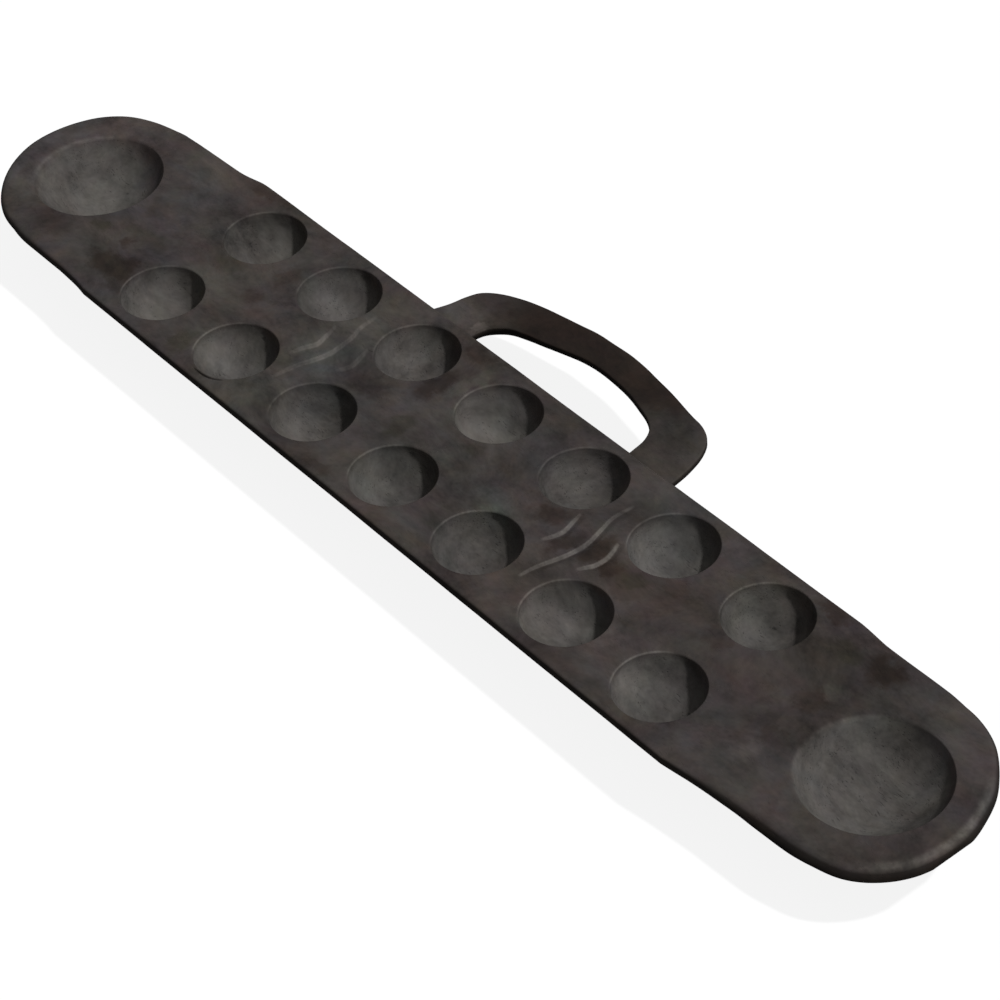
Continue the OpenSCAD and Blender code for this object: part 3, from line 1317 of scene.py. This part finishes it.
    def build(self, material: bpy.types.Material, joints: Sequence[PegJoint]) -> bpy.types.Object:
        """Builds the whole board.

        Args:
            material: the finish.
            joints: the handle's two joints, whose mortises and peg holes are cut.

        Returns:
            The finished piece.
        """
        skin = self.skin(material)
        self.refine(skin)
        low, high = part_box("board")
        steps = [(hand_finish_tree(), {
            "Wander": self.wander, "Dish": self.dish, "Hewing": self.hewing, "Gouging": self.gouging,
            "Rest": self.untouched, "Low": tuple(low), "High": tuple(high), "Material": material})]
        tree = carved_line_tree()
        guides = []
        for line in self.wave_lines():
            guides.append(line.guide("wave_line", self.pitch, self.top))
            steps.append((tree, {"Line": guides[-1], "Wall": line.wall, "Run-out": line.run_out,
                                 "Top": self.top, "Material": material}))
        board = new_object("board_carved", grow("board_carved", *steps, start=skin))
        discard(*guides)
        cutters = [cutter for joint in joints for cutter in (joint.tenon(joint.relief), joint.peg_hole())]
        cut_and_join(board, [("DIFFERENCE", cutter) for cutter in cutters])
        discard(*cutters)
        return shaded(board)


OUTER_EDGE = HandCurve(((0, 122.5), (12, 122), (16, 121.3), (21, 121.6), (27, 124.8), (31, 126), (36, 123),
                        (44.1, 114.6), (51.8, 106.8), (59.9, 99.9), (68.8, 95), (78.5, 92.6), (88.5, 90.9),
                        (98.4, 91.9), (108.3, 94), (117.7, 97.6), (126.3, 103.6), (134, 110.9), (139, 117.5),
                        (143, 124.5), (148, 130.2), (154, 131.8), (160.6, 131), (168.5, 129.3), (180, 128)))
INNER_EDGE = HandCurve(((0, 77), (15, 79.8), (25, 85), (30, 87.4), (35, 86.8), (40, 84.6), (47, 78.6),
                        (57.5, 71.5), (70.5, 67.7), (84, 67.4), (98, 68.5), (110.6, 71.1), (122.5, 75.9),
                        (133.6, 82.1), (143.6, 90), (149, 93), (155, 93.4), (162, 91.4), (180, 87.5)))


@dataclass(frozen=True)
class BowHandle:
    """The bow handle, which is let into the board's far side with a tenon on each leg."""

    middle_x: float
    top: float
    reach: float
    thickness: float = 14.0 * MM
    leg_x: float = 104.0 * MM
    foot: float = 52.0 * MM
    land: float = 4.3 * MM
    edge_radius: float = 1.2 * MM
    keel_radius: float = 2.5 * MM
    flank_lean: float = math.radians(45.0)
    rings: int = 160
    edge_steps: int = 4
    land_steps: int = 2
    flank_steps: int = 4
    keel_steps: int = 3
    bedding: float = 1.7 * MM
    hewing: float = 0.3 * MM

    @classmethod
    def from_frame(cls) -> "BowHandle":
        """Takes the handle's place, height and reach from the solid handle.

        Returns:
            The handle with these sizes.
        """
        low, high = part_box("handle")
        return cls(middle_x=(low.x + high.x) / 2, top=high.z, reach=high.y)

    def stations(self) -> list[Station]:
        """The path of the bow, whose edges are known by their distance from the point between the feet.

        Returns:
            The stations from the left foot to the right. A section of no size closes each end.
        """
        centre = Vector((self.middle_x, self.foot, 0.0))
        found = []
        for step in range(self.rings + 1):
            turned = 180.0 * step / self.rings
            outward = Vector((-math.cos(math.radians(turned)), math.sin(math.radians(turned)), 0.0))
            outer, inner = OUTER_EDGE.at(turned), INNER_EDGE.at(turned)
            middle = outward * (outer + inner) / 2
            drop = LEFT_DROP * max(1 - middle.x / self.leg_x, 0.0) / 2
            found.append(Station(centre + middle, outward, (outer - inner) / 2, lift=self.top - drop))
        ends = [replace(station, blend=1.0) for station in (found[0], found[-1])]
        return [ends[0], *found, ends[1]]

    def half_section(self) -> list[Vector]:
        """The outer side of the section: rounded edge, upright rim, leaning flank and rounded keel.

        Returns:
            The points, with the distance out from the bow's side in X and the height from its top in Z.
        """
        edge, keel, lean = self.edge_radius, self.keel_radius, self.flank_lean
        flank = self.thickness - keel - self.land
        keel_x = -flank * math.tan(lean) - keel / math.cos(lean)
        bottom = arc((keel_x, keel - self.thickness), (keel, keel), -lean, -QUARTER, self.keel_steps)
        points = arc((-edge, -edge), (edge, edge), QUARTER, 0.0, self.edge_steps)
        points += straight_on(points, (0.0, -self.land), self.land_steps)
        points += straight_on(points, bottom[0], self.flank_steps)
        return upright(points + bottom[1:])

    def section(self) -> tuple[list[Vector], list[float]]:
        """The bow's closed section.

        Returns:
            The points, and the share of the half width that each adds, from 1 outside to -1 inside.
        """
        outer = self.half_section()
        inner = [Vector((-p.x, 0.0, p.z)) for p in reversed(outer)]
        crown_shares = [-0.5, 0.0, 0.5]
        crown = [Vector((outer[0].x * share, 0.0, 0.0)) for share in crown_shares]
        points = outer + inner + crown
        shares = [1.0] * len(outer) + [-1.0] * len(inner) + crown_shares
        return points + points[:1], shares + shares[:1]

    def build(self, material: bpy.types.Material, board: Board,
              joints: Sequence[PegJoint]) -> bpy.types.Object:
        """Builds the handle.

        Args:
            material: the finish.
            board: the board, to whose side the legs are fitted.
            joints: the two joints, whose tenons are joined on.

        Returns:
            The finished piece.
        """
        path = path_guide("bow_path", self.stations())
        points, shares = self.section()
        none = [0.0] * len(points)
        # The dark side colour, partly painted shade, begins below the bow's rounded edge
        side = [eased(-spot.z / (2 * self.edge_radius)) for spot in points]
        section = guide_points("bow_section", points, share=shares, below=none, side=side, crest=none)
        core = [Vector((0.0, 0.0, -self.thickness / 2))] * len(points)
        closing = guide_points("bow_closing", core, share=none, side=side, crest=none)
        sweep = {"Path": path, "First section": section, "Last section": closing, "Material": material}
        finish = {"Wander": board.wander, "Dish": board.dish, "Hewing": self.hewing, "Gouging": 0.0,
                  "Rest": 0.0, "Material": material, "Low": (-1.0, 0.0, 0.0),
                  "High": (1.0, self.reach, self.top)}
        bow = grow("handle_carved", (section_sweep_tree(), sweep))
        weld_and_turn_out(bow)
        handle = new_object("handle_carved", grow("handle_carved", (hand_finish_tree(), finish), start=bow))
        discard(path, section, closing)
        tenons = [joint.tenon() for joint in joints]
        holes = [joint.peg_hole() for joint in joints]
        bed = board.straight_block(self.bedding)
        cut_and_join(handle, [("DIFFERENCE", bed), *(("UNION", tenon) for tenon in tenons),
                              *(("DIFFERENCE", hole) for hole in holes)])
        discard(bed, *tenons, *holes)
        return shaded(handle)


def written(red: int, green: int, blue: int) -> tuple[float, float, float, float]:
    """Turns a colour as a picture shows it into the numbers that light uses.

    Args:
        red: level from 0 to 255.
        green: as red.
        blue: as red.

    Returns:
        The colour, opaque.
    """
    def straight(level: int) -> float:
        """One channel."""
        share = level / 255
        return share / 12.92 if share <= 0.04045 else ((share + 0.055) / 1.055) ** 2.4

    return straight(red), straight(green), straight(blue), 1.0


class ShaderGroup(Tree):
    """A shader node group with named inputs and outputs, built once and used in several materials."""

    def __init__(self, name: str, inputs: dict[str, Socket], outputs: dict[str, Socket]) -> None:
        """Makes the group and its sockets.

        Args:
            name: name of the group.
            inputs: its inputs.
            outputs: its outputs.
        """
        super().__init__(bpy.data.node_groups.new(name, "ShaderNodeTree"))
        for in_out, sockets in (("INPUT", inputs), ("OUTPUT", outputs)):
            for label, kind in sockets.items():
                self.data.interface.new_socket(label, in_out=in_out, socket_type=kind.value)
        self.source = self.data.nodes.new("NodeGroupInput")
        self.sink = self.data.nodes.new("NodeGroupOutput")

    def given(self, label: str) -> Field:
        """One of the group's named inputs."""
        return Field(self, self.source.outputs[label])

    def give(self, label: str, value: Field) -> None:
        """Sets one of the group's named outputs."""
        self.feed(self.sink.inputs[label], value)

    def used_in(self, tree: Tree, feeds: dict[str, Value]) -> dict[str, Field]:
        """Places the group in a material.

        Args:
            tree: the material's tree.
            feeds: values or fields for the group's inputs.

        Returns:
            The group's outputs by name.
        """
        node = tree.node("ShaderNodeGroup", node_tree=self.data)
        for label, value in feeds.items():
            tree.feed(node.inputs[label], value)
        return {socket.name: Field(tree, socket) for socket in node.outputs}


def grain_group() -> ShaderGroup:
    """Wood grain along X.

    Returns:
        The group, with dark strokes in clusters, longer soft streaks, and the height of both.
    """
    group = ShaderGroup("grain", {"Place": Socket.VECTOR, "Size": Socket.NUMBER},
                        {"Strokes": Socket.NUMBER, "Streaks": Socket.NUMBER, "Height": Socket.NUMBER})
    stray = 9.0 * MM
    wavy = group.wobble(group.given("Place"), size=22.0 * MM, seed=2.0)
    place = (group.given("Place") + wavy * stray) * (1.0 / group.given("Size"))
    short, long, dense = (group.math("MULTIPLY", place, stretch)
                          for stretch in ((0.14, 1.0, 1.0), (0.05, 0.4, 0.4), (0.5, 1.6, 1.6)))
    strokes = group.noise(short, size=1.0, seed=3.0, detail=1.0)
    clusters = group.noise(place, size=9.0, seed=4.0, detail=1.0).ramp(0.46, 0.62)
    marks = strokes.ramp(0.58, 0.7) * clusters
    streaks = group.noise(long, size=1.0, seed=5.0, detail=3.0)
    fine = group.noise(dense, size=1.0, seed=6.0)
    group.give("Strokes", marks)
    group.give("Streaks", streaks)
    group.give("Height", fine * 0.5 + streaks * 0.5 - marks)
    return group


def mottling_group() -> ShaderGroup:
    """Soft patches in the surface colour, as handling and age leave them.

    Returns:
        The group. Its outputs are centred on zero, except Fine, which goes from 0 to 1.
    """
    group = ShaderGroup("mottling", {"Place": Socket.VECTOR, "Size": Socket.NUMBER},
                        {"Tone": Socket.NUMBER, "Warm": Socket.NUMBER, "Green": Socket.NUMBER,
                         "Fine": Socket.NUMBER})
    along = group.math("MULTIPLY", group.given("Place") * (1.0 / group.given("Size")), (0.75, 1.0, 1.0))
    tone = group.noise(along, size=1.0, seed=9.0, detail=5.0, Roughness=0.8, Distortion=0.3)
    warm = group.noise(along, size=0.6, seed=8.0, detail=3.0, Roughness=0.7, Distortion=0.5)
    green = group.noise(along, size=0.5, seed=11.0, detail=3.0, Roughness=0.7, Distortion=0.5)
    group.give("Tone", tone - 0.5)
    group.give("Warm", warm - 0.5)
    group.give("Green", green - 0.5)
    group.give("Fine", group.noise(along, size=0.2, seed=10.0, detail=4.0))
    return group


def stain_group() -> ShaderGroup:
    """One soft oval.

    Returns:
        The group. Its Place is expected to be ragged already.
    """
    group = ShaderGroup("stain", {"Place": Socket.VECTOR, "Centre": Socket.VECTOR, "Reach": Socket.VECTOR,
                                  "Strength": Socket.NUMBER}, {"Mask": Socket.NUMBER})
    scaled = group.math("DIVIDE", group.given("Place") - group.given("Centre"), group.given("Reach"))
    far = group.math("LENGTH", group.math("MULTIPLY", scaled, (1.0, 1.0, 0.0)))
    group.give("Mask", far.ramp(1.15, 0.45) * group.given("Strength"))
    return group


class StainKind(Enum):
    """The colours that stains have, as a picture shows them."""

    UMBER = (35, 27, 23)
    BROWN = (40, 32, 27)
    RED = (46, 36, 32)
    OLIVE = (44, 41, 34)
    GREEN = (69, 67, 62)
    LILAC = (73, 67, 65)


@dataclass(frozen=True)
class Stain:
    """A stain on the wood, counted in bowl spacings from the middle of the board."""

    x: float
    y: float
    reach_x: float
    reach_y: float
    strength: float


# Stains by their kind, which are laid over each other in the order of StainKind
Stains = dict[StainKind, tuple[Stain, ...]]


@dataclass(frozen=True)
class WoodGroups:
    """The shader node groups that the wood finishes share."""

    grain: ShaderGroup
    mottling: ShaderGroup
    stain: ShaderGroup

    @classmethod
    def made(cls) -> "WoodGroups":
        """Builds each group once."""
        return cls(grain_group(), mottling_group(), stain_group())


@dataclass(frozen=True)
class WoodFinish:
    """A matt, aged wood surface. Colours are written as a picture shows them."""

    name: str
    base: tuple[int, int, int]
    hollow: tuple[int, int, int]
    # Dark colour of the sides: partly darker wood, partly painted shade
    side: tuple[int, int, int]
    # Pale colour for rubbed places and painted highlight
    worn: tuple[int, int, int]
    roughness: float = 0.78
    sheen_level: float = 0.15
    grain_size: float = 0.9 * MM
    stroke_depth: float = 0.45
    patch_size: float = 55.0 * MM
    raggedness: float = 28.0 * MM
    tone_contrast: float = 3.2
    streak_contrast: float = 0.12
    warm_contrast: float = 0.5
    green_contrast: float = 0.45
    # How the pale rubbed colour and painted highlight is broken up
    worn_contrast: float = 3.0
    worn_share: float = 0.9
    quiet_share: float = 0.6
    hollow_strokes: float = 0.75
    roughness_spread: float = 0.16
    bump: float = 0.35
    bump_height: float = 0.35 * MM

    def material(self, groups: WoodGroups, stains: Stains, pitch: float) -> bpy.types.Material:
        """Makes the material.

        Args:
            groups: the shared node groups.
            stains: stains to lay over the colour, by their kind.
            pitch: the unit that the stains are counted in.

        Returns:
            The material.
        """
        made = bpy.data.materials.new(self.name)
        made.use_nodes = True
        tree = Tree(made.node_tree)
        shader = made.node_tree.nodes["Principled BSDF"]
        place = tree.get("ShaderNodeTexCoord", output="Object")
        grain = groups.grain.used_in(tree, {"Place": place, "Size": self.grain_size})
        patches = groups.mottling.used_in(tree, {"Place": place, "Size": self.patch_size})
        hollow, side, worn = (tree.get("ShaderNodeAttribute", output="Fac", attribute_name=name)
                              for name in ("hollow", "side", "worn"))
        colour = self.stained(tree, groups, place, stains, pitch)
        colour = tree.mix(hollow, colour, written(*self.hollow))
        # The dark side colour: partly darker wood, partly painted shade
        colour = tree.mix(side, colour, written(*self.side))
        # A pale rubbed colour and painted highlight, broken up by the tone
        broken = patches["Tone"] * self.worn_contrast + self.worn_share
        colour = tree.mix(worn * broken, colour, written(*self.worn))
        quiet = 1.0 - tree.math("MAXIMUM", hollow, worn) * self.quiet_share
        warm = patches["Warm"] * quiet * self.warm_contrast
        green = patches["Green"] * quiet * self.green_contrast
        streaks = (grain["Streaks"] - 0.5) * self.streak_contrast
        tone = patches["Tone"] * self.tone_contrast + streaks + 1.0
        stroke_share = hollow * self.hollow_strokes + (1.0 - self.hollow_strokes)
        tone = tone * (1.0 - grain["Strokes"] * stroke_share * self.stroke_depth)
        tint = tree.vector(warm + 1.0, green + 1.0, 1.0 - warm) * tone
        tree.feed(shader.inputs["Base Color"], tree.mix(1.0, colour, tint, "MULTIPLY"))
        smoothest = self.roughness - self.roughness_spread / 2
        tree.feed(shader.inputs["Roughness"], patches["Fine"] * self.roughness_spread + smoothest)
        shader.inputs["Specular IOR Level"].default_value = self.sheen_level
        bump = {"Height": grain["Height"], "Strength": self.bump, "Distance": self.bump_height}
        tree.feed(shader.inputs["Normal"], tree.get("ShaderNodeBump", bump, "Normal"))
        return made

    def stained(self, tree: Tree, groups: WoodGroups, place: Field, stains: Stains, pitch: float) -> Value:
        """Lays the stains over the base colour, with ragged outlines.

        Args:
            tree: the material's tree.
            groups: the shared node groups.
            place: the place on the piece.
            stains: the stains by their kind.
            pitch: the unit that they are counted in.

        Returns:
            The colour, which is plain where there is no stain.
        """
        shift = tree.wobble(place, size=14.0 * MM, seed=15.0, detail=4.0, Roughness=0.65)
        ragged = place + shift * self.raggedness
        colour = written(*self.base)
        for kind in StainKind:
            mask = None
            for spot in stains.get(kind, ()):
                centre = (spot.x * pitch, spot.y * pitch, 0.0)
                reach = (spot.reach_x * pitch, spot.reach_y * pitch, 1.0)
                oval = groups.stain.used_in(tree, {"Place": ragged, "Centre": centre, "Reach": reach,
                                                   "Strength": spot.strength})["Mask"]
                mask = oval if mask is None else tree.math("MAXIMUM", mask, oval)
            if mask is not None:
                colour = tree.mix(mask, colour, written(*kind.value))
        return colour


# Colours in order: base, pale bowl floors, dark sides that are partly painted shade, and the pale colour of
# rubbed places and painted highlight
BOARD_FINISH = WoodFinish("board_wood", (59, 54, 52), (80, 77, 74), (31, 26, 23), (90, 86, 82))
HANDLE_FINISH = WoodFinish("handle_wood", (54, 49, 46), (54, 49, 46), (27, 22, 19), (84, 77, 71))
PEG_FINISH = WoodFinish("peg_wood", (92, 74, 58), (92, 74, 58), (92, 74, 58), (110, 92, 74),
                        grain_size=0.6 * MM, patch_size=9.0 * MM)
TOP_STAINS: Stains = {
    StainKind.BROWN: (
        Stain(-3.55, -.6, .34, .17, .9), Stain(-3.3, -.7, .24, .12, .6), Stain(-4.4, -.6, .25, .15, .4),
        Stain(-3.75, -.35, .08, .08, .7), Stain(-.95, -.03, .22, .13, .5), Stain(-.6, .35, .12, .27, .8),
        Stain(-.5, -.85, .16, .08, .5), Stain(1.44, -.05, .1, .22, .7), Stain(1.66, .05, .12, .22, .9),
        Stain(1.85, .03, .14, .12, .8), Stain(3.96, .71, .22, .17, 1.0), Stain(3.78, .16, .16, .13, .6),
    ),
    StainKind.RED: (
        Stain(-3.4, .9, .28, .09, .6), Stain(-2.47, -.02, .1, .13, .5), Stain(-2.45, .35, .09, .2, .5),
        Stain(-.65, .85, .17, .09, .6), Stain(1.15, .07, .16, .13, .8), Stain(2.35, .2, .17, .12, .6),
        Stain(2.9, .1, .16, .13, .6), Stain(3.28, .89, .22, .09, .9), Stain(3.9, -.25, .17, .11, .5),
        Stain(3.6, .3, .7, .85, .2), Stain(2.5, .05, .8, .5, .25), Stain(2.9, -.9, 1.6, .12, .3),
    ),
    StainKind.OLIVE: (
        Stain(-4.08, -.37, .09, .08, .7), Stain(-3.9, .1, .16, .13, .5), Stain(-3.7, -.2, .3, .1, .4),
        Stain(-2.4, -.75, .12, .16, .7), Stain(-2.92, .1, .16, .11, .5), Stain(-.42, -.15, .1, .2, .6),
        Stain(.18, .14, .12, .09, .5), Stain(.65, -.55, .16, .16, .4), Stain(2.08, .05, .13, .1, .7),
        Stain(1.5, -.45, .2, .2, .4), Stain(1.6, .6, .2, .2, .4), Stain(3.64, .64, .16, .11, .6),
    ),
    StainKind.GREEN: (
        Stain(-1.5, 0, .3, .95, .75), Stain(.75, -.15, .26, .16, .6), Stain(-.42, .55, .09, .3, .8),
        Stain(3.86, .33, .12, .1, .5), Stain(-2.9, -.3, .35, .3, .4), Stain(.1, -.25, .4, .2, .35),
    ),
    StainKind.LILAC: (
        Stain(3.84, -.48, .14, .17, .6), Stain(2.35, -.45, .14, .22, .7), Stain(-3.6, .1, .34, .2, .25),
        Stain(-3.9, .45, .4, .3, .25), Stain(-5.0, 0, .6, .9, .5), Stain(2.1, -.2, .25, .1, .5),
    ),
}
HANDLE_STAINS: Stains = {
    StainKind.UMBER: (
        Stain(-.35, 1.55, 1.0, .5, 1.0), Stain(.45, 1.6, .7, .35, .95),
    ),
    StainKind.OLIVE: (
        Stain(1.2, 1.3, .2, .2, .4),
    ),
    StainKind.LILAC: (
        # The small oval at -1.02, 1.1 is a painted highlight on the inner corner of the left leg's root
        Stain(-1.3, 1.15, .3, .2, .5), Stain(-1.02, 1.1, .07, .1, 1.0),
    ),
}


@dataclass(frozen=True)
class Studio:
    """The camera, the lights and the floor. Angles are in degrees."""

    camera_azimuth: float = 54.13
    camera_elevation: float = 42.07
    camera_roll: float = -5.0
    camera_distance: float = 2.049
    camera_target: tuple[float, float, float] = (0.06306, -0.00856, 0.045)
    lens: float = 121.72
    sensor: float = 36.0
    sun_azimuth: float = 34.0
    sun_elevation: float = 57.5
    sun_strength: float = 2.82
    sun_spread: float = 3.0
    sky: float = 0.25
    floor_half: float = 6.0
    floor_glow: float = 1.03
    floor_glow_share: float = 0.85
    floor_white: float = 0.98
    floor_thrown: float = 0.2

    @staticmethod
    def bearing(azimuth: float, elevation: float) -> Vector:
        """Finds a direction.

        Args:
            azimuth: its angle round from +X towards +Y.
            elevation: its angle above the ground.

        Returns:
            The direction, one unit long.
        """
        turn, rise = math.radians(azimuth), math.radians(elevation)
        return Vector((math.cos(turn) * math.cos(rise), math.sin(turn) * math.cos(rise), math.sin(rise)))

    def add_camera(self) -> None:
        """Places the camera where the photograph was taken from."""
        back = self.bearing(self.camera_azimuth - 90.0, self.camera_elevation)
        right = (-back).cross(Vector((0.0, 0.0, 1.0))).normalized()
        upright = Matrix((right, right.cross(-back), back)).transposed().to_4x4()
        data = bpy.data.cameras.new("camera")
        data.lens = self.lens
        data.sensor_width = self.sensor
        camera = bpy.data.objects.new("camera", data)
        camera.matrix_world = (Matrix.Translation(Vector(self.camera_target) + back * self.camera_distance)
                               @ upright @ Matrix.Rotation(math.radians(self.camera_roll), 4, "Z"))
        bpy.context.scene.collection.objects.link(camera)
        bpy.context.scene.camera = camera

    def add_light(self) -> None:
        """Adds the key light and a plain sky, which is white only where the camera sees it."""
        lamp = bpy.data.lights.new("key", "SUN")
        lamp.energy = self.sun_strength
        lamp.angle = math.radians(self.sun_spread)
        key = bpy.data.objects.new("key", lamp)
        towards_sun = self.bearing(self.sun_azimuth, self.sun_elevation)
        key.rotation_euler = towards_sun.to_track_quat("Z", "Y").to_euler()
        bpy.context.scene.collection.objects.link(key)
        world = bpy.data.worlds.new("studio")
        bpy.context.scene.world = world
        world.use_nodes = True
        tree = Tree(world.node_tree)
        rays = tree.node("ShaderNodeLightPath")
        seen = tree.math("MAXIMUM", Field(tree, rays.outputs["Is Camera Ray"]),
                         Field(tree, rays.outputs["Is Transmission Ray"]))
        backdrop = world.node_tree.nodes["Background"]
        backdrop.inputs["Color"].default_value = (1.0, 1.0, 1.0, 1.0)
        tree.feed(backdrop.inputs["Strength"], seen * (1.0 - self.sky) + self.sky)

    def add_floor(self) -> None:
        """Adds the pale floor, which the camera sees white with a light shadow."""
        half = self.floor_half
        mesh = bpy.data.meshes.new("floor")
        corners = [(-half, -half, 0.0), (half, -half, 0.0), (half, half, 0.0), (-half, half, 0.0)]
        mesh.from_pydata(corners, [], [(0, 1, 2, 3)])
        floor = new_object("floor", mesh)
        material = bpy.data.materials.new("floor")
        material.use_nodes = True
        tree = Tree(material.node_tree)
        tree.data.nodes.clear()
        rays = tree.node("ShaderNodeLightPath")
        white, dull = (tree.get("ShaderNodeBsdfDiffuse", {"Color": (level, level, level, 1.0)})
                       for level in (self.floor_white, self.floor_thrown))
        glow = tree.get("ShaderNodeEmission", {"Color": (1.0, 1.0, 1.0, 1.0), "Strength": self.floor_glow})
        seen = tree.get("ShaderNodeMixShader", {0: self.floor_glow_share, 1: white, 2: glow})
        by_camera = Field(tree, rays.outputs["Is Camera Ray"])
        look = tree.get("ShaderNodeMixShader", {0: by_camera, 1: dull, 2: seen})
        tree.node("ShaderNodeOutputMaterial", {"Surface": look})
        mesh.materials.append(material)


def redress(node: str, material: bpy.types.Material) -> bpy.types.Object:
    """Gives a solid that stays in the scene a new material.

    Args:
        node: name of the solid's node.
        material: the new material.

    Returns:
        The solid's object.
    """
    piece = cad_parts[node]
    piece.data.materials.clear()
    piece.data.materials.append(material)
    return piece


def main() -> None:
    """Builds the scene."""
    logging.basicConfig(level=logging.INFO, format="%(name)s: %(message)s")
    bpy.context.scene.view_settings.view_transform = "Standard"
    studio = Studio()
    studio.add_camera()
    studio.add_light()
    studio.add_floor()

    board = Board.from_frame()
    handle = BowHandle.from_frame()
    joints = [PegJoint(side, board.top, board.box_half_width) for side in (-1, 1)]
    groups = WoodGroups.made()
    board_piece = board.build(BOARD_FINISH.material(groups, TOP_STAINS, board.pitch), joints)
    handle_piece = handle.build(HANDLE_FINISH.material(groups, HANDLE_STAINS, board.pitch), board, joints)
    for piece, node, slot in ((board_piece, "board", "board_wood"), (handle_piece, "handle", "handle_wood")):
        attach(piece, "root")
        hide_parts(node)
        log.info("%s stands for %s", piece.name, node)
    peg_material = PEG_FINISH.material(groups, {}, board.pitch)
    for node in ("left_tenon_peg", "right_tenon_peg"):
        log.info("%s keeps its solid", redress(node, peg_material).name)


if __name__ == "__main__":
    main()
